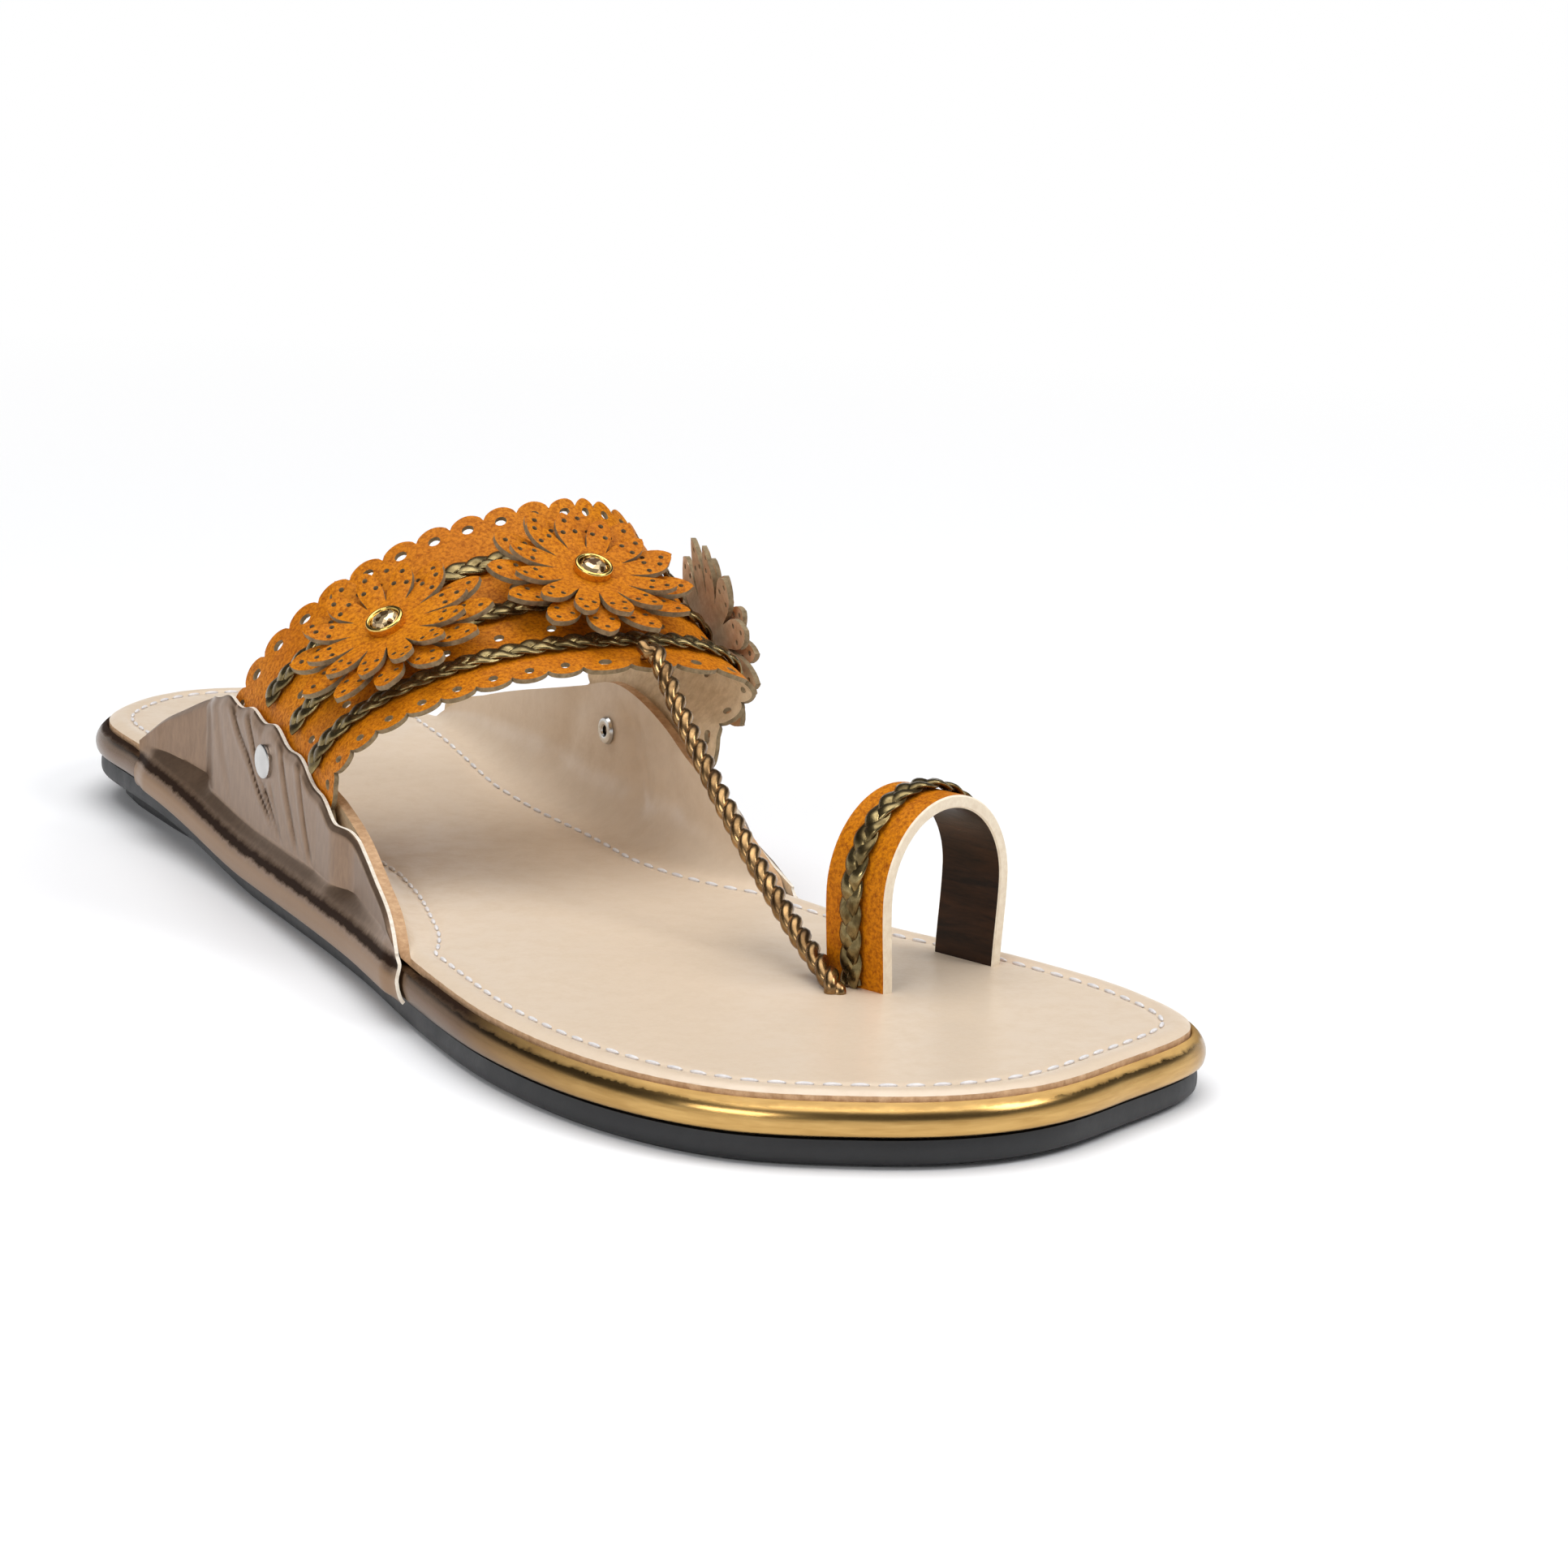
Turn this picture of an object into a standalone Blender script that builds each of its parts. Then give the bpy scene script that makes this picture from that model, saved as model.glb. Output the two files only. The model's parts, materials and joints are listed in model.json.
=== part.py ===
"""A kolhapuri sandal for the right foot.

A flat leather sandal: a black rubber outsole with a low heel block, a wrapped bronze
rand, a cream insole whose two side ears fold up, an orange scalloped instep band with
three braids and three leather flowers, a toe loop and a twisted T cord between them.
The toe points to -Y, the big toe side is +X, and the sandal stands on Z = 0.
"""
import math

import bmesh
import bpy
from mathutils import Matrix, Vector

MM = 0.001

# Sole: plan sizes and the heights of its layers
INSOLE_LENGTH = 250.0 * MM
BALL_WIDTH = 84.0 * MM
OUTSOLE_THICKNESS = 3.7 * MM
RAND_THICKNESS = 4.2 * MM
INSOLE_THICKNESS = 1.6 * MM
HEEL_BLOCK_HEIGHT = 4.0 * MM
HEEL_BLOCK_LENGTH = 64.0 * MM
HEEL_BLOCK_INSET = 2.5 * MM
TOE_SPRING = 0.4 * MM
OUTSOLE_PROUD = 1.3 * MM
RAND_PROUD = 2.2 * MM
GAP = 0.3 * MM

# Side ears of the insole, their covers and the rivets through them
EAR_HEIGHT_LATERAL = 17.3 * MM
EAR_HEIGHT_MEDIAL = 21.6 * MM
EAR_THICKNESS = 1.5 * MM
EAR_INSET_LATERAL = 4.3 * MM
EAR_INSET_MEDIAL = 2.6 * MM
EAR_FILLET = 8.0 * MM
EAR_REAR_LATERAL = 43.0 * MM
EAR_REAR_MEDIAL = 34.0 * MM
EAR_FRONT_LATERAL = 162.0 * MM
EAR_FRONT_MEDIAL = 149.4 * MM
COVER_THICKNESS = 1.2 * MM
COVER_RISE_REAR = 1.7 * MM
COVER_RISE_FRONT = 0.3 * MM
COVER_SHARE_MEDIAL = 0.75
COVER_TUCK = 1.35 * MM
COVER_CLOSING = 12.0 * MM
COVER_RAKE = 4.5 * MM
COVER_WAVE = 0.5 * MM
COVER_WAVE_PITCH = 11.0 * MM
RIVET_HEAD_RADIUS = 2.65 * MM
RIVET_HEAD_HEIGHT = 0.9 * MM
RIVET_SHANK_RADIUS = 1.3 * MM
RIVET_FLANGE_RADIUS = 2.2 * MM
RIVET_FLANGE_HEIGHT = 0.6 * MM
RIVET_BORE_RADIUS = 0.8 * MM
RIVET_ALONG = 96.1 * MM
RIVET_HEIGHT_LATERAL = 13.2 * MM
RIVET_HEIGHT_MEDIAL = 13.7 * MM

# Instep band and what is sewn on it
BAND_THICKNESS = 1.6 * MM
BAND_REAR = 75.3 * MM
BAND_FRONT = 123.0 * MM
BAND_FOOT = 4.0 * MM
BAND_SHOULDER_LATERAL = 15.0 * MM
BAND_SHOULDER_MEDIAL = 19.0 * MM
BAND_CROWN_REAR = 50.7 * MM
BAND_CROWN_FRONT = 31.5 * MM
BAND_CROWN_SAG = 2.2 * MM
BAND_CROWN_SHIFT_REAR = 20.5 * MM
BAND_CROWN_SHIFT_FRONT = 5.0 * MM
BAND_BULGE_MEDIAL = 6.0 * MM
SCALLOP_DEPTH = 1.9 * MM
SCALLOPS_REAR = 24
SCALLOPS_FRONT = 18
BRAID_WIDTH = 3.7 * MM
BRAID_THICKNESS = 1.5 * MM
FLOWER_PETALS = 12
FLOWER_RADIUS_LOWER = 16.2 * MM
FLOWER_RADIUS_UPPER = 13.0 * MM
FLOWER_THICKNESS = 1.1 * MM
FLOWER_CURL = 1.4 * MM
FLOWER_FOLLOW = 0.55
GEM_RADIUS = 3.0 * MM
GEM_HEIGHT = 1.5 * MM
GEM_RIM = 0.7 * MM

# Toe loop and T cord
LOOP_SPAN = 24.6 * MM
LOOP_HEIGHT = 26.0 * MM
LOOP_WIDTH = 10.8 * MM
LOOP_THICKNESS = 1.8 * MM
LOOP_CENTRE_ALONG = 196.6 * MM
LOOP_CENTRE_MEDIAL = 23.9 * MM
LOOP_YAW = math.radians(17.0)
CORD_DIAMETER = 3.0 * MM
CORD_FOOT_ALONG = 201.2 * MM
CORD_FOOT_MEDIAL = 8.0 * MM
CORD_HOLE_CLEARANCE = 0.4 * MM
CORD_SAG = 3.0 * MM

# Heights of the layers above the floor at the forefoot
RAND_BOTTOM = OUTSOLE_THICKNESS + GAP / 2
RAND_TOP = OUTSOLE_THICKNESS + RAND_THICKNESS - GAP / 2
INSOLE_TOP = OUTSOLE_THICKNESS + RAND_THICKNESS + INSOLE_THICKNESS

LATERAL, MEDIAL = -1, 1

# Share of the band's run that each upright foot takes, and share of the insole's section in each ear
LEG_PART = 0.085
INSOLE_EAR_PART = 0.44

# Plan outline: share of the length from the heel, then each half width as a share of the ball width
OUTLINE = (
    # along, lateral, medial
    (0.00, 0.000, 0.000),
    (0.02, 0.168, 0.158),
    (0.07, 0.289, 0.286),
    (0.15, 0.318, 0.345),
    (0.28, 0.329, 0.367),
    (0.42, 0.361, 0.372),
    (0.56, 0.400, 0.352),
    (0.68, 0.452, 0.400),
    (0.78, 0.473, 0.512),
    (0.87, 0.433, 0.567),
    (0.94, 0.323, 0.518),
    (0.98, 0.150, 0.285),
    (1.00, -0.062, 0.062),
)

# Ear height along each ear: share of the ear's length, then shares of the ear height
EAR_PROFILE = (
    # along, lateral, medial
    (0.00, 0.000, 0.000),
    (0.05, 0.260, 0.125),
    (0.10, 0.445, 0.230),
    (0.18, 0.720, 0.385),
    (0.27, 0.930, 0.555),
    (0.36, 1.000, 0.715),
    (0.46, 0.990, 0.880),
    (0.55, 0.860, 1.000),
    (0.65, 0.690, 0.925),
    (0.75, 0.540, 0.745),
    (0.85, 0.335, 0.540),
    (0.93, 0.190, 0.280),
    (1.00, 0.000, 0.000),
)

# Rand section below the insole top: share of its proud offset, share of its thickness from the bottom
RAND_SECTION = ((0.45, 0.0), (0.85, 0.12), (1.0, 0.38), (0.97, 0.62), (0.68, 0.86), (0.15, 1.0))
OUTSOLE_SECTION = ((0.2, 0.0), (0.85, 0.22), (1.0, 0.62), (0.85, 1.0))

# How far the band's edges lie ahead of the lateral ones, as shares of its width
BAND_PLAN = (
    # place on the arch, rear edge, front edge
    (0.00, 0.000, 0.000),
    (0.30, 0.332, 0.187),
    (0.55, 0.423, 0.243),
    (0.80, 0.346, 0.209),
    (1.00, 0.164, 0.117),
)

# Share of the arch on the lateral side of its crown, and how square each shoulder is
CROWN_PLACE = 0.56
SHOULDER_LATERAL = 2.0
SHOULDER_MEDIAL = 3.0

# Braids: name, place across the band from the rear edge
BRAIDS = (("braid_rear", 0.27), ("braid_middle", 0.54), ("braid_front", 0.81))

# Flowers: name, place along the arch, place across the band
FLOWERS = (("lateral", 0.272, 0.545), ("top", 0.590, 0.515), ("medial", 0.872, 0.46))

# Start of the cord on the band and its crossing of the front edge: place along the arch, place across
CORD_START = (0.645, 0.945)
CORD_EDGE = (0.660, 1.0)

COLOURS = {
    "rubber": ((0.012, 0.012, 0.013), 0.55, 0.0),
    "bronze_rand": ((0.22, 0.12, 0.045), 0.28, 0.85),
    "cream_leather": ((0.62, 0.52, 0.40), 0.42, 0.0),
    "bronze_leather": ((0.20, 0.115, 0.065), 0.34, 0.6),
    "orange_leather": ((0.60, 0.21, 0.022), 0.50, 0.0),
    "antique_gold": ((0.20, 0.145, 0.065), 0.32, 0.9),
    "twisted_gold": ((0.30, 0.18, 0.07), 0.30, 0.9),
    "gold_metal": ((0.75, 0.50, 0.14), 0.22, 1.0),
    "champagne_crystal": ((0.42, 0.26, 0.10), 0.05, 0.0),
    "silver_metal": ((0.55, 0.55, 0.54), 0.28, 1.0),
}


def clear_scene():
    """Remove whatever the open file holds."""
    for item in list(bpy.data.objects):
        bpy.data.objects.remove(item, do_unlink=True)


def make_material(name):
    """A plain Principled material in one of the named colours."""
    colour, roughness, metallic = COLOURS[name]
    material = bpy.data.materials.get(name) or bpy.data.materials.new(name)
    material.use_nodes = True
    shader = material.node_tree.nodes["Principled BSDF"]
    shader.inputs["Base Color"].default_value = (*colour, 1.0)
    shader.inputs["Roughness"].default_value = roughness
    shader.inputs["Metallic"].default_value = metallic
    material.diffuse_color = (*colour, 1.0)
    return material


def smooth_table(table, column, place):
    """Read a column of a table at a place in its first column, along a smooth curve."""
    rows = [(row[0], row[column]) for row in table]
    place = min(max(place, rows[0][0]), rows[-1][0])
    index = 0
    while index < len(rows) - 2 and place > rows[index + 1][0]:
        index += 1

    def slope(i):
        low, high = max(i - 1, 0), min(i + 1, len(rows) - 1)
        return (rows[high][1] - rows[low][1]) / (rows[high][0] - rows[low][0])

    (start, a), (end, b) = rows[index], rows[index + 1]
    span = end - start
    t = (place - start) / span
    ma, mb = slope(index) * span, slope(index + 1) * span
    return ((2 * t**3 - 3 * t**2 + 1) * a + (t**3 - 2 * t**2 + t) * ma
            + (-2 * t**3 + 3 * t**2) * b + (t**3 - t**2) * mb)


def smoothstep(low, high, value):
    """Rise from 0 to 1 between two values with flat ends."""
    t = min(max((value - low) / (high - low), 0.0), 1.0)
    return t * t * (3 - 2 * t)


# Plan and height of the sole

def angle_share(along):
    """Place on the outline as a share of half a turn, so that both ends come out round."""
    return math.acos(min(max(1 - 2 * along / INSOLE_LENGTH, -1.0), 1.0)) / math.pi


TURNED_OUTLINE = [(math.acos(1 - 2 * row[0]) / math.pi, row[1], row[2]) for row in OUTLINE]


def half_width(side, along):
    """Distance from the middle line to the insole's edge."""
    column = 1 if side == LATERAL else 2
    return BALL_WIDTH * smooth_table(TURNED_OUTLINE, column, angle_share(along))


def sole_lift(along):
    """Height that the heel and the toe spring add to a flat sole."""
    heel_end, ball_start = 0.16 * INSOLE_LENGTH, 0.38 * INSOLE_LENGTH
    spring_start = 0.86 * INSOLE_LENGTH
    heel = HEEL_BLOCK_HEIGHT * (1 - smoothstep(heel_end, ball_start, along))
    toe = max(along - spring_start, 0.0) / (INSOLE_LENGTH - spring_start)
    return heel + TOE_SPRING * toe * toe


def place(across, along, height):
    """Point from its distance towards the medial side, its distance from the heel and its height."""
    return Vector((across, INSOLE_LENGTH / 2 - along, height))


def on_insole(across, along, height):
    """Point at a height over the insole's top face."""
    return place(across, along, height + INSOLE_TOP + sole_lift(along))


def outline_ring(count, offset):
    """Points round the outline, heel to toe on the lateral side and back, pushed out by an offset."""
    plan = []
    for index in range(count + 1):
        along = INSOLE_LENGTH * (1 - math.cos(math.pi * index / count)) / 2
        plan.append((-half_width(LATERAL, along), along))
    for index in range(count - 1, 0, -1):
        along = INSOLE_LENGTH * (1 - math.cos(math.pi * index / count)) / 2
        plan.append((half_width(MEDIAL, along), along))
    ring = []
    for index, (x, y) in enumerate(plan):
        before, after = plan[index - 1], plan[(index + 1) % len(plan)]
        dx, dy = after[0] - before[0], after[1] - before[1]
        size = math.hypot(dx, dy)
        ring.append((x - offset * dy / size, y + offset * dx / size))
    return ring


# Mesh helpers

def add_object(name, verts, faces, material, angle=35.0):
    """Make a closed object from points and faces, shaded smooth where it bends gently."""
    mesh = bpy.data.meshes.new(name)
    mesh.from_pydata([tuple(v) for v in verts], [], faces)
    work = bmesh.new()
    work.from_mesh(mesh)
    bmesh.ops.recalc_face_normals(work, faces=work.faces)
    if work.calc_volume(signed=True) < 0:
        bmesh.ops.reverse_faces(work, faces=work.faces)
    work.to_mesh(mesh)
    work.free()
    mesh.materials.append(make_material(material))
    mesh.shade_smooth()
    mesh.set_sharp_from_angle(angle=math.radians(angle))
    item = bpy.data.objects.new(name, mesh)
    bpy.context.collection.objects.link(item)
    return item


def plate(name, section, base, thickness, proud, material, count, lift):
    """Sole layer lofted from a side section: offsets as shares of proud, heights of thickness."""
    rings = []
    for offset_share, height_share in section:
        ring = outline_ring(count, offset_share * proud)
        height = base + height_share * thickness
        rings.append([place(x, y, height + lift(y)) for x, y in ring])
    verts = [point for ring in rings for point in ring]
    size = 2 * count
    faces = []
    for level in range(len(rings) - 1):
        for index in range(size):
            after = (index + 1) % size
            low, high = level * size, (level + 1) * size
            faces.append((low + index, low + after, high + after, high + index))
    for start in (0, (len(rings) - 1) * size):
        for index in range(count):
            corners = [start + index, start + index + 1]
            if index + 1 < count:
                corners.append(start + size - index - 1)
            if index > 0:
                corners.append(start + size - index)
            faces.append(tuple(corners))
    return add_object(name, verts, faces, material)


def sheet(name, surface, rows, columns, low, high, material, angle=35.0):
    """Closed sheet between two offsets of surface(a, b), over a grid of values."""
    step = 1e-4
    layers = {low: [], high: []}
    for a in rows:
        for b in columns:
            a0, a1 = max(a - step, 0.0), min(a + step, 1.0)
            b0, b1 = max(b - step, 0.0), min(b + step, 1.0)
            normal = (surface(a1, b) - surface(a0, b)).cross(surface(a, b1) - surface(a, b0)).normalized()
            point = surface(a, b)
            for offset in (low, high):
                layers[offset].append(point + normal * offset)
    verts = layers[low] + layers[high]
    n, m = len(rows), len(columns)
    top = n * m
    faces = []
    for i in range(n - 1):
        for j in range(m - 1):
            a, b, c, d = i * m + j, i * m + j + 1, (i + 1) * m + j + 1, (i + 1) * m + j
            faces.append((a, b, c, d))
            faces.append((top + a, top + d, top + c, top + b))
    border = [(0, j) for j in range(m)] + [(i, m - 1) for i in range(1, n)]
    border += [(n - 1, j) for j in range(m - 2, -1, -1)] + [(i, 0) for i in range(n - 2, 0, -1)]
    for index, (i, j) in enumerate(border):
        k, l = border[(index + 1) % len(border)]
        a, b = i * m + j, k * m + l
        faces.append((a, top + a, top + b, b))
    return add_object(name, verts, faces, material, angle)


def swept(name, frames, section, material, angle=35.0):
    """Solid swept along frames of (point, side axis, up axis) with a closed section."""
    verts, size = [], len(section)
    for point, side_axis, up_axis in frames:
        verts += [point + side_axis * x + up_axis * y for x, y in section]
    faces = [tuple(range(size)), tuple(range(len(verts) - size, len(verts)))]
    for i in range(len(frames) - 1):
        for j in range(size):
            a, b = i * size + j, i * size + (j + 1) % size
            faces.append((a, b, b + size, a + size))
    return add_object(name, verts, faces, material, angle)


def turned(name, profile, centre, axis, material, sides=20):
    """Solid turned about an axis from (radius, height) pairs, closed at both ends on the axis."""
    work = bmesh.new()
    points = [work.verts.new((radius, 0.0, height)) for radius, height in profile]
    edges = [work.edges.new(pair) for pair in zip(points, points[1:])]
    bmesh.ops.spin(work, geom=points + edges, cent=(0, 0, 0), axis=(0, 0, 1),
                   angle=math.tau, steps=sides, use_merge=True)
    bmesh.ops.remove_doubles(work, verts=work.verts, dist=1e-6)
    turn = Vector((0, 0, 1)).rotation_difference(axis).to_matrix().to_4x4()
    work.transform(Matrix.Translation(centre) @ turn)
    bmesh.ops.recalc_face_normals(work, faces=work.faces)
    verts = [v.co.copy() for v in work.verts]
    faces = [tuple(v.index for v in face.verts) for face in work.faces]
    work.free()
    return add_object(name, verts, faces, material)


def cut(item, cutter):
    """Cut one object out of another with an exact Boolean, and keep the cutter out of the build."""
    cutter.hide_render = True
    cutter.display_type = "WIRE"
    modifier = item.modifiers.new("cut_" + cutter.name, "BOOLEAN")
    modifier.operation = "DIFFERENCE"
    modifier.solver = "EXACT"
    modifier.object = cutter


def triangulate(item):
    """Split the faces that cuts have left with many corners, without slivers."""
    modifier = item.modifiers.new("triangles", "TRIANGULATE")
    modifier.quad_method = "BEAUTY"
    modifier.ngon_method = "BEAUTY"


def shares(count):
    """Evenly spaced values from 0 to 1."""
    return [index / count for index in range(count + 1)]


# Sole layers

def build_outsole():
    """Rubber outsole with a bevelled lower edge."""
    thickness = OUTSOLE_THICKNESS - GAP / 2
    return plate("outsole", OUTSOLE_SECTION, 0.0, thickness, OUTSOLE_PROUD, "rubber", 44, sole_lift)


def build_heel_block():
    """Low rubber heel block under the back of the outsole, flat on the floor."""
    stations = 14
    ring_low, ring_high = [], []
    for index in range(stations + 1):
        share = (1 - math.cos(math.pi / 2 * index / stations))
        along = HEEL_BLOCK_INSET + share * (HEEL_BLOCK_LENGTH - HEEL_BLOCK_INSET)
        ring_low.append(along)
    verts, faces = [], []
    levels = ((1.2 * MM, 0.0), (0.3 * MM, 0.25), (0.0, 1.0))
    tip_width = 0.2 * MM
    for draw_in, height_share in levels:
        for side in (LATERAL, MEDIAL):
            for along in ring_low:
                inner = max(along - HEEL_BLOCK_INSET - 0.3 * draw_in, 0.0)
                opening = HEEL_BLOCK_INSET * smoothstep(0, 0.1, inner / HEEL_BLOCK_LENGTH)
                width = max(half_width(side, inner + opening) - HEEL_BLOCK_INSET - draw_in, tip_width)
                top = sole_lift(along) - GAP
                back = draw_in * (1 - smoothstep(0.0, 0.2, inner / HEEL_BLOCK_LENGTH))
                verts.append(place(side * width, along + back, height_share * top))
    size = stations + 1
    for level in range(len(levels) - 1):
        for side in range(2):
            for index in range(stations):
                a = (level * 2 + side) * size + index
                b = a + 2 * size
                faces.append((a, a + 1, b + 1, b))
        for index in (0, stations):
            a, b = level * 2 * size + index, (level * 2 + 1) * size + index
            faces.append((a, b, b + 2 * size, a + 2 * size))
    for level in (0, len(levels) - 1):
        for index in range(stations):
            a, b = level * 2 * size + index, (level * 2 + 1) * size + index
            faces.append((a, a + 1, b + 1, b))
    return add_object("heel_block", verts, faces, "rubber")


def build_rand():
    """Midsole wrapped in bronze leather, whose side stands proud as a bead."""
    thickness = RAND_TOP - RAND_BOTTOM
    return plate("rand", RAND_SECTION, RAND_BOTTOM, thickness, RAND_PROUD, "bronze_rand", 44, sole_lift)


# Ears

def ear_front(side):
    """Front end of an ear along the sole."""
    return EAR_FRONT_LATERAL if side == LATERAL else EAR_FRONT_MEDIAL


def ear_inset(side):
    """How far inside the insole's edge an ear's upright wall stands."""
    return EAR_INSET_LATERAL if side == LATERAL else EAR_INSET_MEDIAL


def ear_rear(side):
    """Rear end of an ear along the sole."""
    return EAR_REAR_LATERAL if side == LATERAL else EAR_REAR_MEDIAL


def ear_top(side):
    """Greatest height of an ear over the insole."""
    return EAR_HEIGHT_LATERAL if side == LATERAL else EAR_HEIGHT_MEDIAL


def ear_height(side, along):
    """Height of an ear's edge over the insole."""
    share = (along - ear_rear(side)) / (ear_front(side) - ear_rear(side))
    if share <= 0 or share >= 1:
        return 0.0
    return ear_top(side) * max(smooth_table(EAR_PROFILE, 1 if side == LATERAL else 2, share), 0.0)


def ear_fullness(side, along):
    """1 where the ear is fully formed, falling to 0 at its ends."""
    full_height_share = 0.7
    return min(ear_height(side, along) / ear_top(side) / full_height_share, 1.0) ** 0.8


def ear_path(side, along, share):
    """Point on the insole's upper face from the flat (0) up the ear to its edge (1)."""
    edge = half_width(side, along)
    full, height = ear_fullness(side, along), ear_height(side, along)
    fillet, inset = EAR_FILLET * full, ear_inset(side) * full
    start = min(EAR_FILLET + ear_inset(side), 0.5 * abs(edge))
    flat = max(start - fillet - inset, 0.0)
    turn = math.acos(max(1 - height / fillet, 0.0)) if fillet > 1e-7 else 0.0
    arc, wall = fillet * turn, max(height - fillet, 0.0)
    run = share * (flat + arc + wall)
    inward = start - min(run, flat)
    rise = 0.0
    if run > flat:
        swept_turn = min(run - flat, arc) / fillet if fillet > 1e-7 else 0.0
        inward = fillet + inset - fillet * math.sin(swept_turn)
        rise = fillet * (1 - math.cos(swept_turn)) + max(run - flat - arc, 0.0)
    return on_insole(side * (edge - inward), along, rise)


def insole_surface(a, b):
    """Upper face of the insole: a from heel to toe, b from the lateral edge to the medial one."""
    blunt_tip = 0.014
    turn = math.pi * (blunt_tip + (1 - 2 * blunt_tip) * a)
    along = INSOLE_LENGTH * (1 - math.cos(turn)) / 2
    if b < INSOLE_EAR_PART:
        return ear_path(LATERAL, along, 1 - b / INSOLE_EAR_PART)
    if 1 - b < INSOLE_EAR_PART:
        return ear_path(MEDIAL, along, 1 - (1 - b) / INSOLE_EAR_PART)
    return middle_point(along, b)


def middle_point(along, b):
    """Point on the flat middle of the insole between the two ears' roots."""
    left, right = ear_path(LATERAL, along, 0.0), ear_path(MEDIAL, along, 0.0)
    return left.lerp(right, (b - INSOLE_EAR_PART) / (1 - 2 * INSOLE_EAR_PART))


def build_insole():
    """Cream insole with its folded ears, slots for the toe loop and a hole for the cord."""
    ear_shares = [0.0, 0.25, 0.47, 0.68, 1.0]
    left = [INSOLE_EAR_PART * share for share in ear_shares]
    columns = left + [1 - b for b in reversed(left)]
    insole = sheet("insole", insole_surface, shares(48), columns, -INSOLE_THICKNESS, 0.0, "cream_leather")
    for side, name in ((LATERAL, "slot_lateral"), (MEDIAL, "slot_medial")):
        cut(insole, loop_slot(side, name))
    hole = turned("cord_hole", ((0.0, -4 * MM), (cord_hole_radius(), -4 * MM),
                                (cord_hole_radius(), 4 * MM), (0.0, 4 * MM)),
                  on_insole(CORD_FOOT_MEDIAL, CORD_FOOT_ALONG, 0.0), Vector((0, 0, 1)), "rubber", 16)
    cut(insole, hole)
    for side in (LATERAL, MEDIAL):
        cut(insole, rivet_hole(side, "insole"))
    triangulate(insole)
    return insole


def cord_hole_radius():
    """Radius of the cord's hole in the insole."""
    return CORD_DIAMETER / 2 + CORD_HOLE_CLEARANCE


def band_share(side, along):
    """1 where the band's foot lies between ear and cover, 0 away from it."""
    width = BAND_FRONT - BAND_REAR
    foot = BAND_PLAN[0] if side == LATERAL else BAND_PLAN[-1]
    rear, front = BAND_REAR + foot[1] * width, BAND_FRONT + foot[2] * width
    opens = smoothstep(rear - COVER_CLOSING, rear - COVER_CLOSING / 4, along)
    return opens * (1 - smoothstep(front + COVER_CLOSING / 4, front + COVER_CLOSING, along))


def cover_seat(side, along):
    """Outward offset of the cover's inner face from the insole's edge, above the rand."""
    ear_outside = EAR_THICKNESS - ear_inset(side) * ear_fullness(side, along)
    return ear_outside + GAP + (BAND_THICKNESS + GAP) * band_share(side, along)


def cover_height(side, along):
    """Height of the cover's upper edge over the insole, with its wavy part."""
    front = ear_front(side)
    wave_zone = smoothstep(BAND_REAR - 8 * MM, BAND_REAR + 4 * MM, along)
    wave_zone *= 1 - smoothstep(front - 36 * MM, front - 22 * MM, along)
    wave = COVER_WAVE * math.cos(math.tau * along / COVER_WAVE_PITCH) * wave_zone
    share = 1.0 if side == LATERAL else COVER_SHARE_MEDIAL
    ahead = smoothstep(BAND_FRONT - COVER_CLOSING, BAND_FRONT, along)
    rise = COVER_RISE_REAR + (COVER_RISE_FRONT - COVER_RISE_REAR) * ahead
    return share * ear_height(side, along) + rise + wave


def cover_offset(side, along, height):
    """Outward offset of the cover's inner face at a height over the insole."""
    widest_level, upper_slack = RAND_SECTION[2][1], 0.45
    level = (height + INSOLE_THICKNESS + RAND_THICKNESS) / RAND_THICKNESS
    bead = RAND_PROUD * smooth_table([(row[1], row[0]) for row in RAND_SECTION], 1, level) + GAP
    bead = max(bead, COVER_TUCK)
    if level > widest_level:
        bead = max(bead, RAND_PROUD * (1 - upper_slack * smoothstep(0.6, 1.2, level)) + GAP)
    blend = smoothstep(-INSOLE_THICKNESS, 1.6 * MM, height)
    return bead * (1 - blend) + cover_seat(side, along) * blend


def cover_surface(side):
    """Inner face of an ear cover: a from rear to front, b from the rubber up to the edge."""
    below = INSOLE_THICKNESS + RAND_THICKNESS - 0.4 * MM
    low_part = 0.5

    def surface(a, b):
        rake = COVER_RAKE * (1 - min(b / low_part, 1.0))
        along = ear_rear(side) + a * (ear_front(side) + rake - ear_rear(side))
        top = cover_height(side, along)
        if b < low_part:
            height = -below * (1 - b / low_part)
        else:
            height = top * (b - low_part) / (1 - low_part)
        offset = cover_offset(side, along, height)
        return on_insole(side * (half_width(side, along) + offset), along, height)

    return surface


def build_cover(side, name):
    """Bronze leather cover over the outside of an ear and the rand below it."""
    rows = shares(32)
    columns = [0.0, 0.12, 0.26, 0.4, 0.5, 0.6, 0.74, 1.0]
    low, high = (0.0, COVER_THICKNESS) if side == LATERAL else (-COVER_THICKNESS, 0.0)
    cover = sheet(name, cover_surface(side), rows, columns, low, high, "bronze_leather")
    cut(cover, rivet_hole(side, name))
    triangulate(cover)
    return cover


# Rivets

def rivet_place(side):
    """Point on the ear's inner face where the rivet goes through, and how far it reaches outward."""
    height = RIVET_HEIGHT_LATERAL if side == LATERAL else RIVET_HEIGHT_MEDIAL
    inner = half_width(side, RIVET_ALONG) - ear_inset(side)
    outer = half_width(side, RIVET_ALONG) + cover_seat(side, RIVET_ALONG) + COVER_THICKNESS
    return on_insole(side * inner, RIVET_ALONG, height), outer - inner


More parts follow.
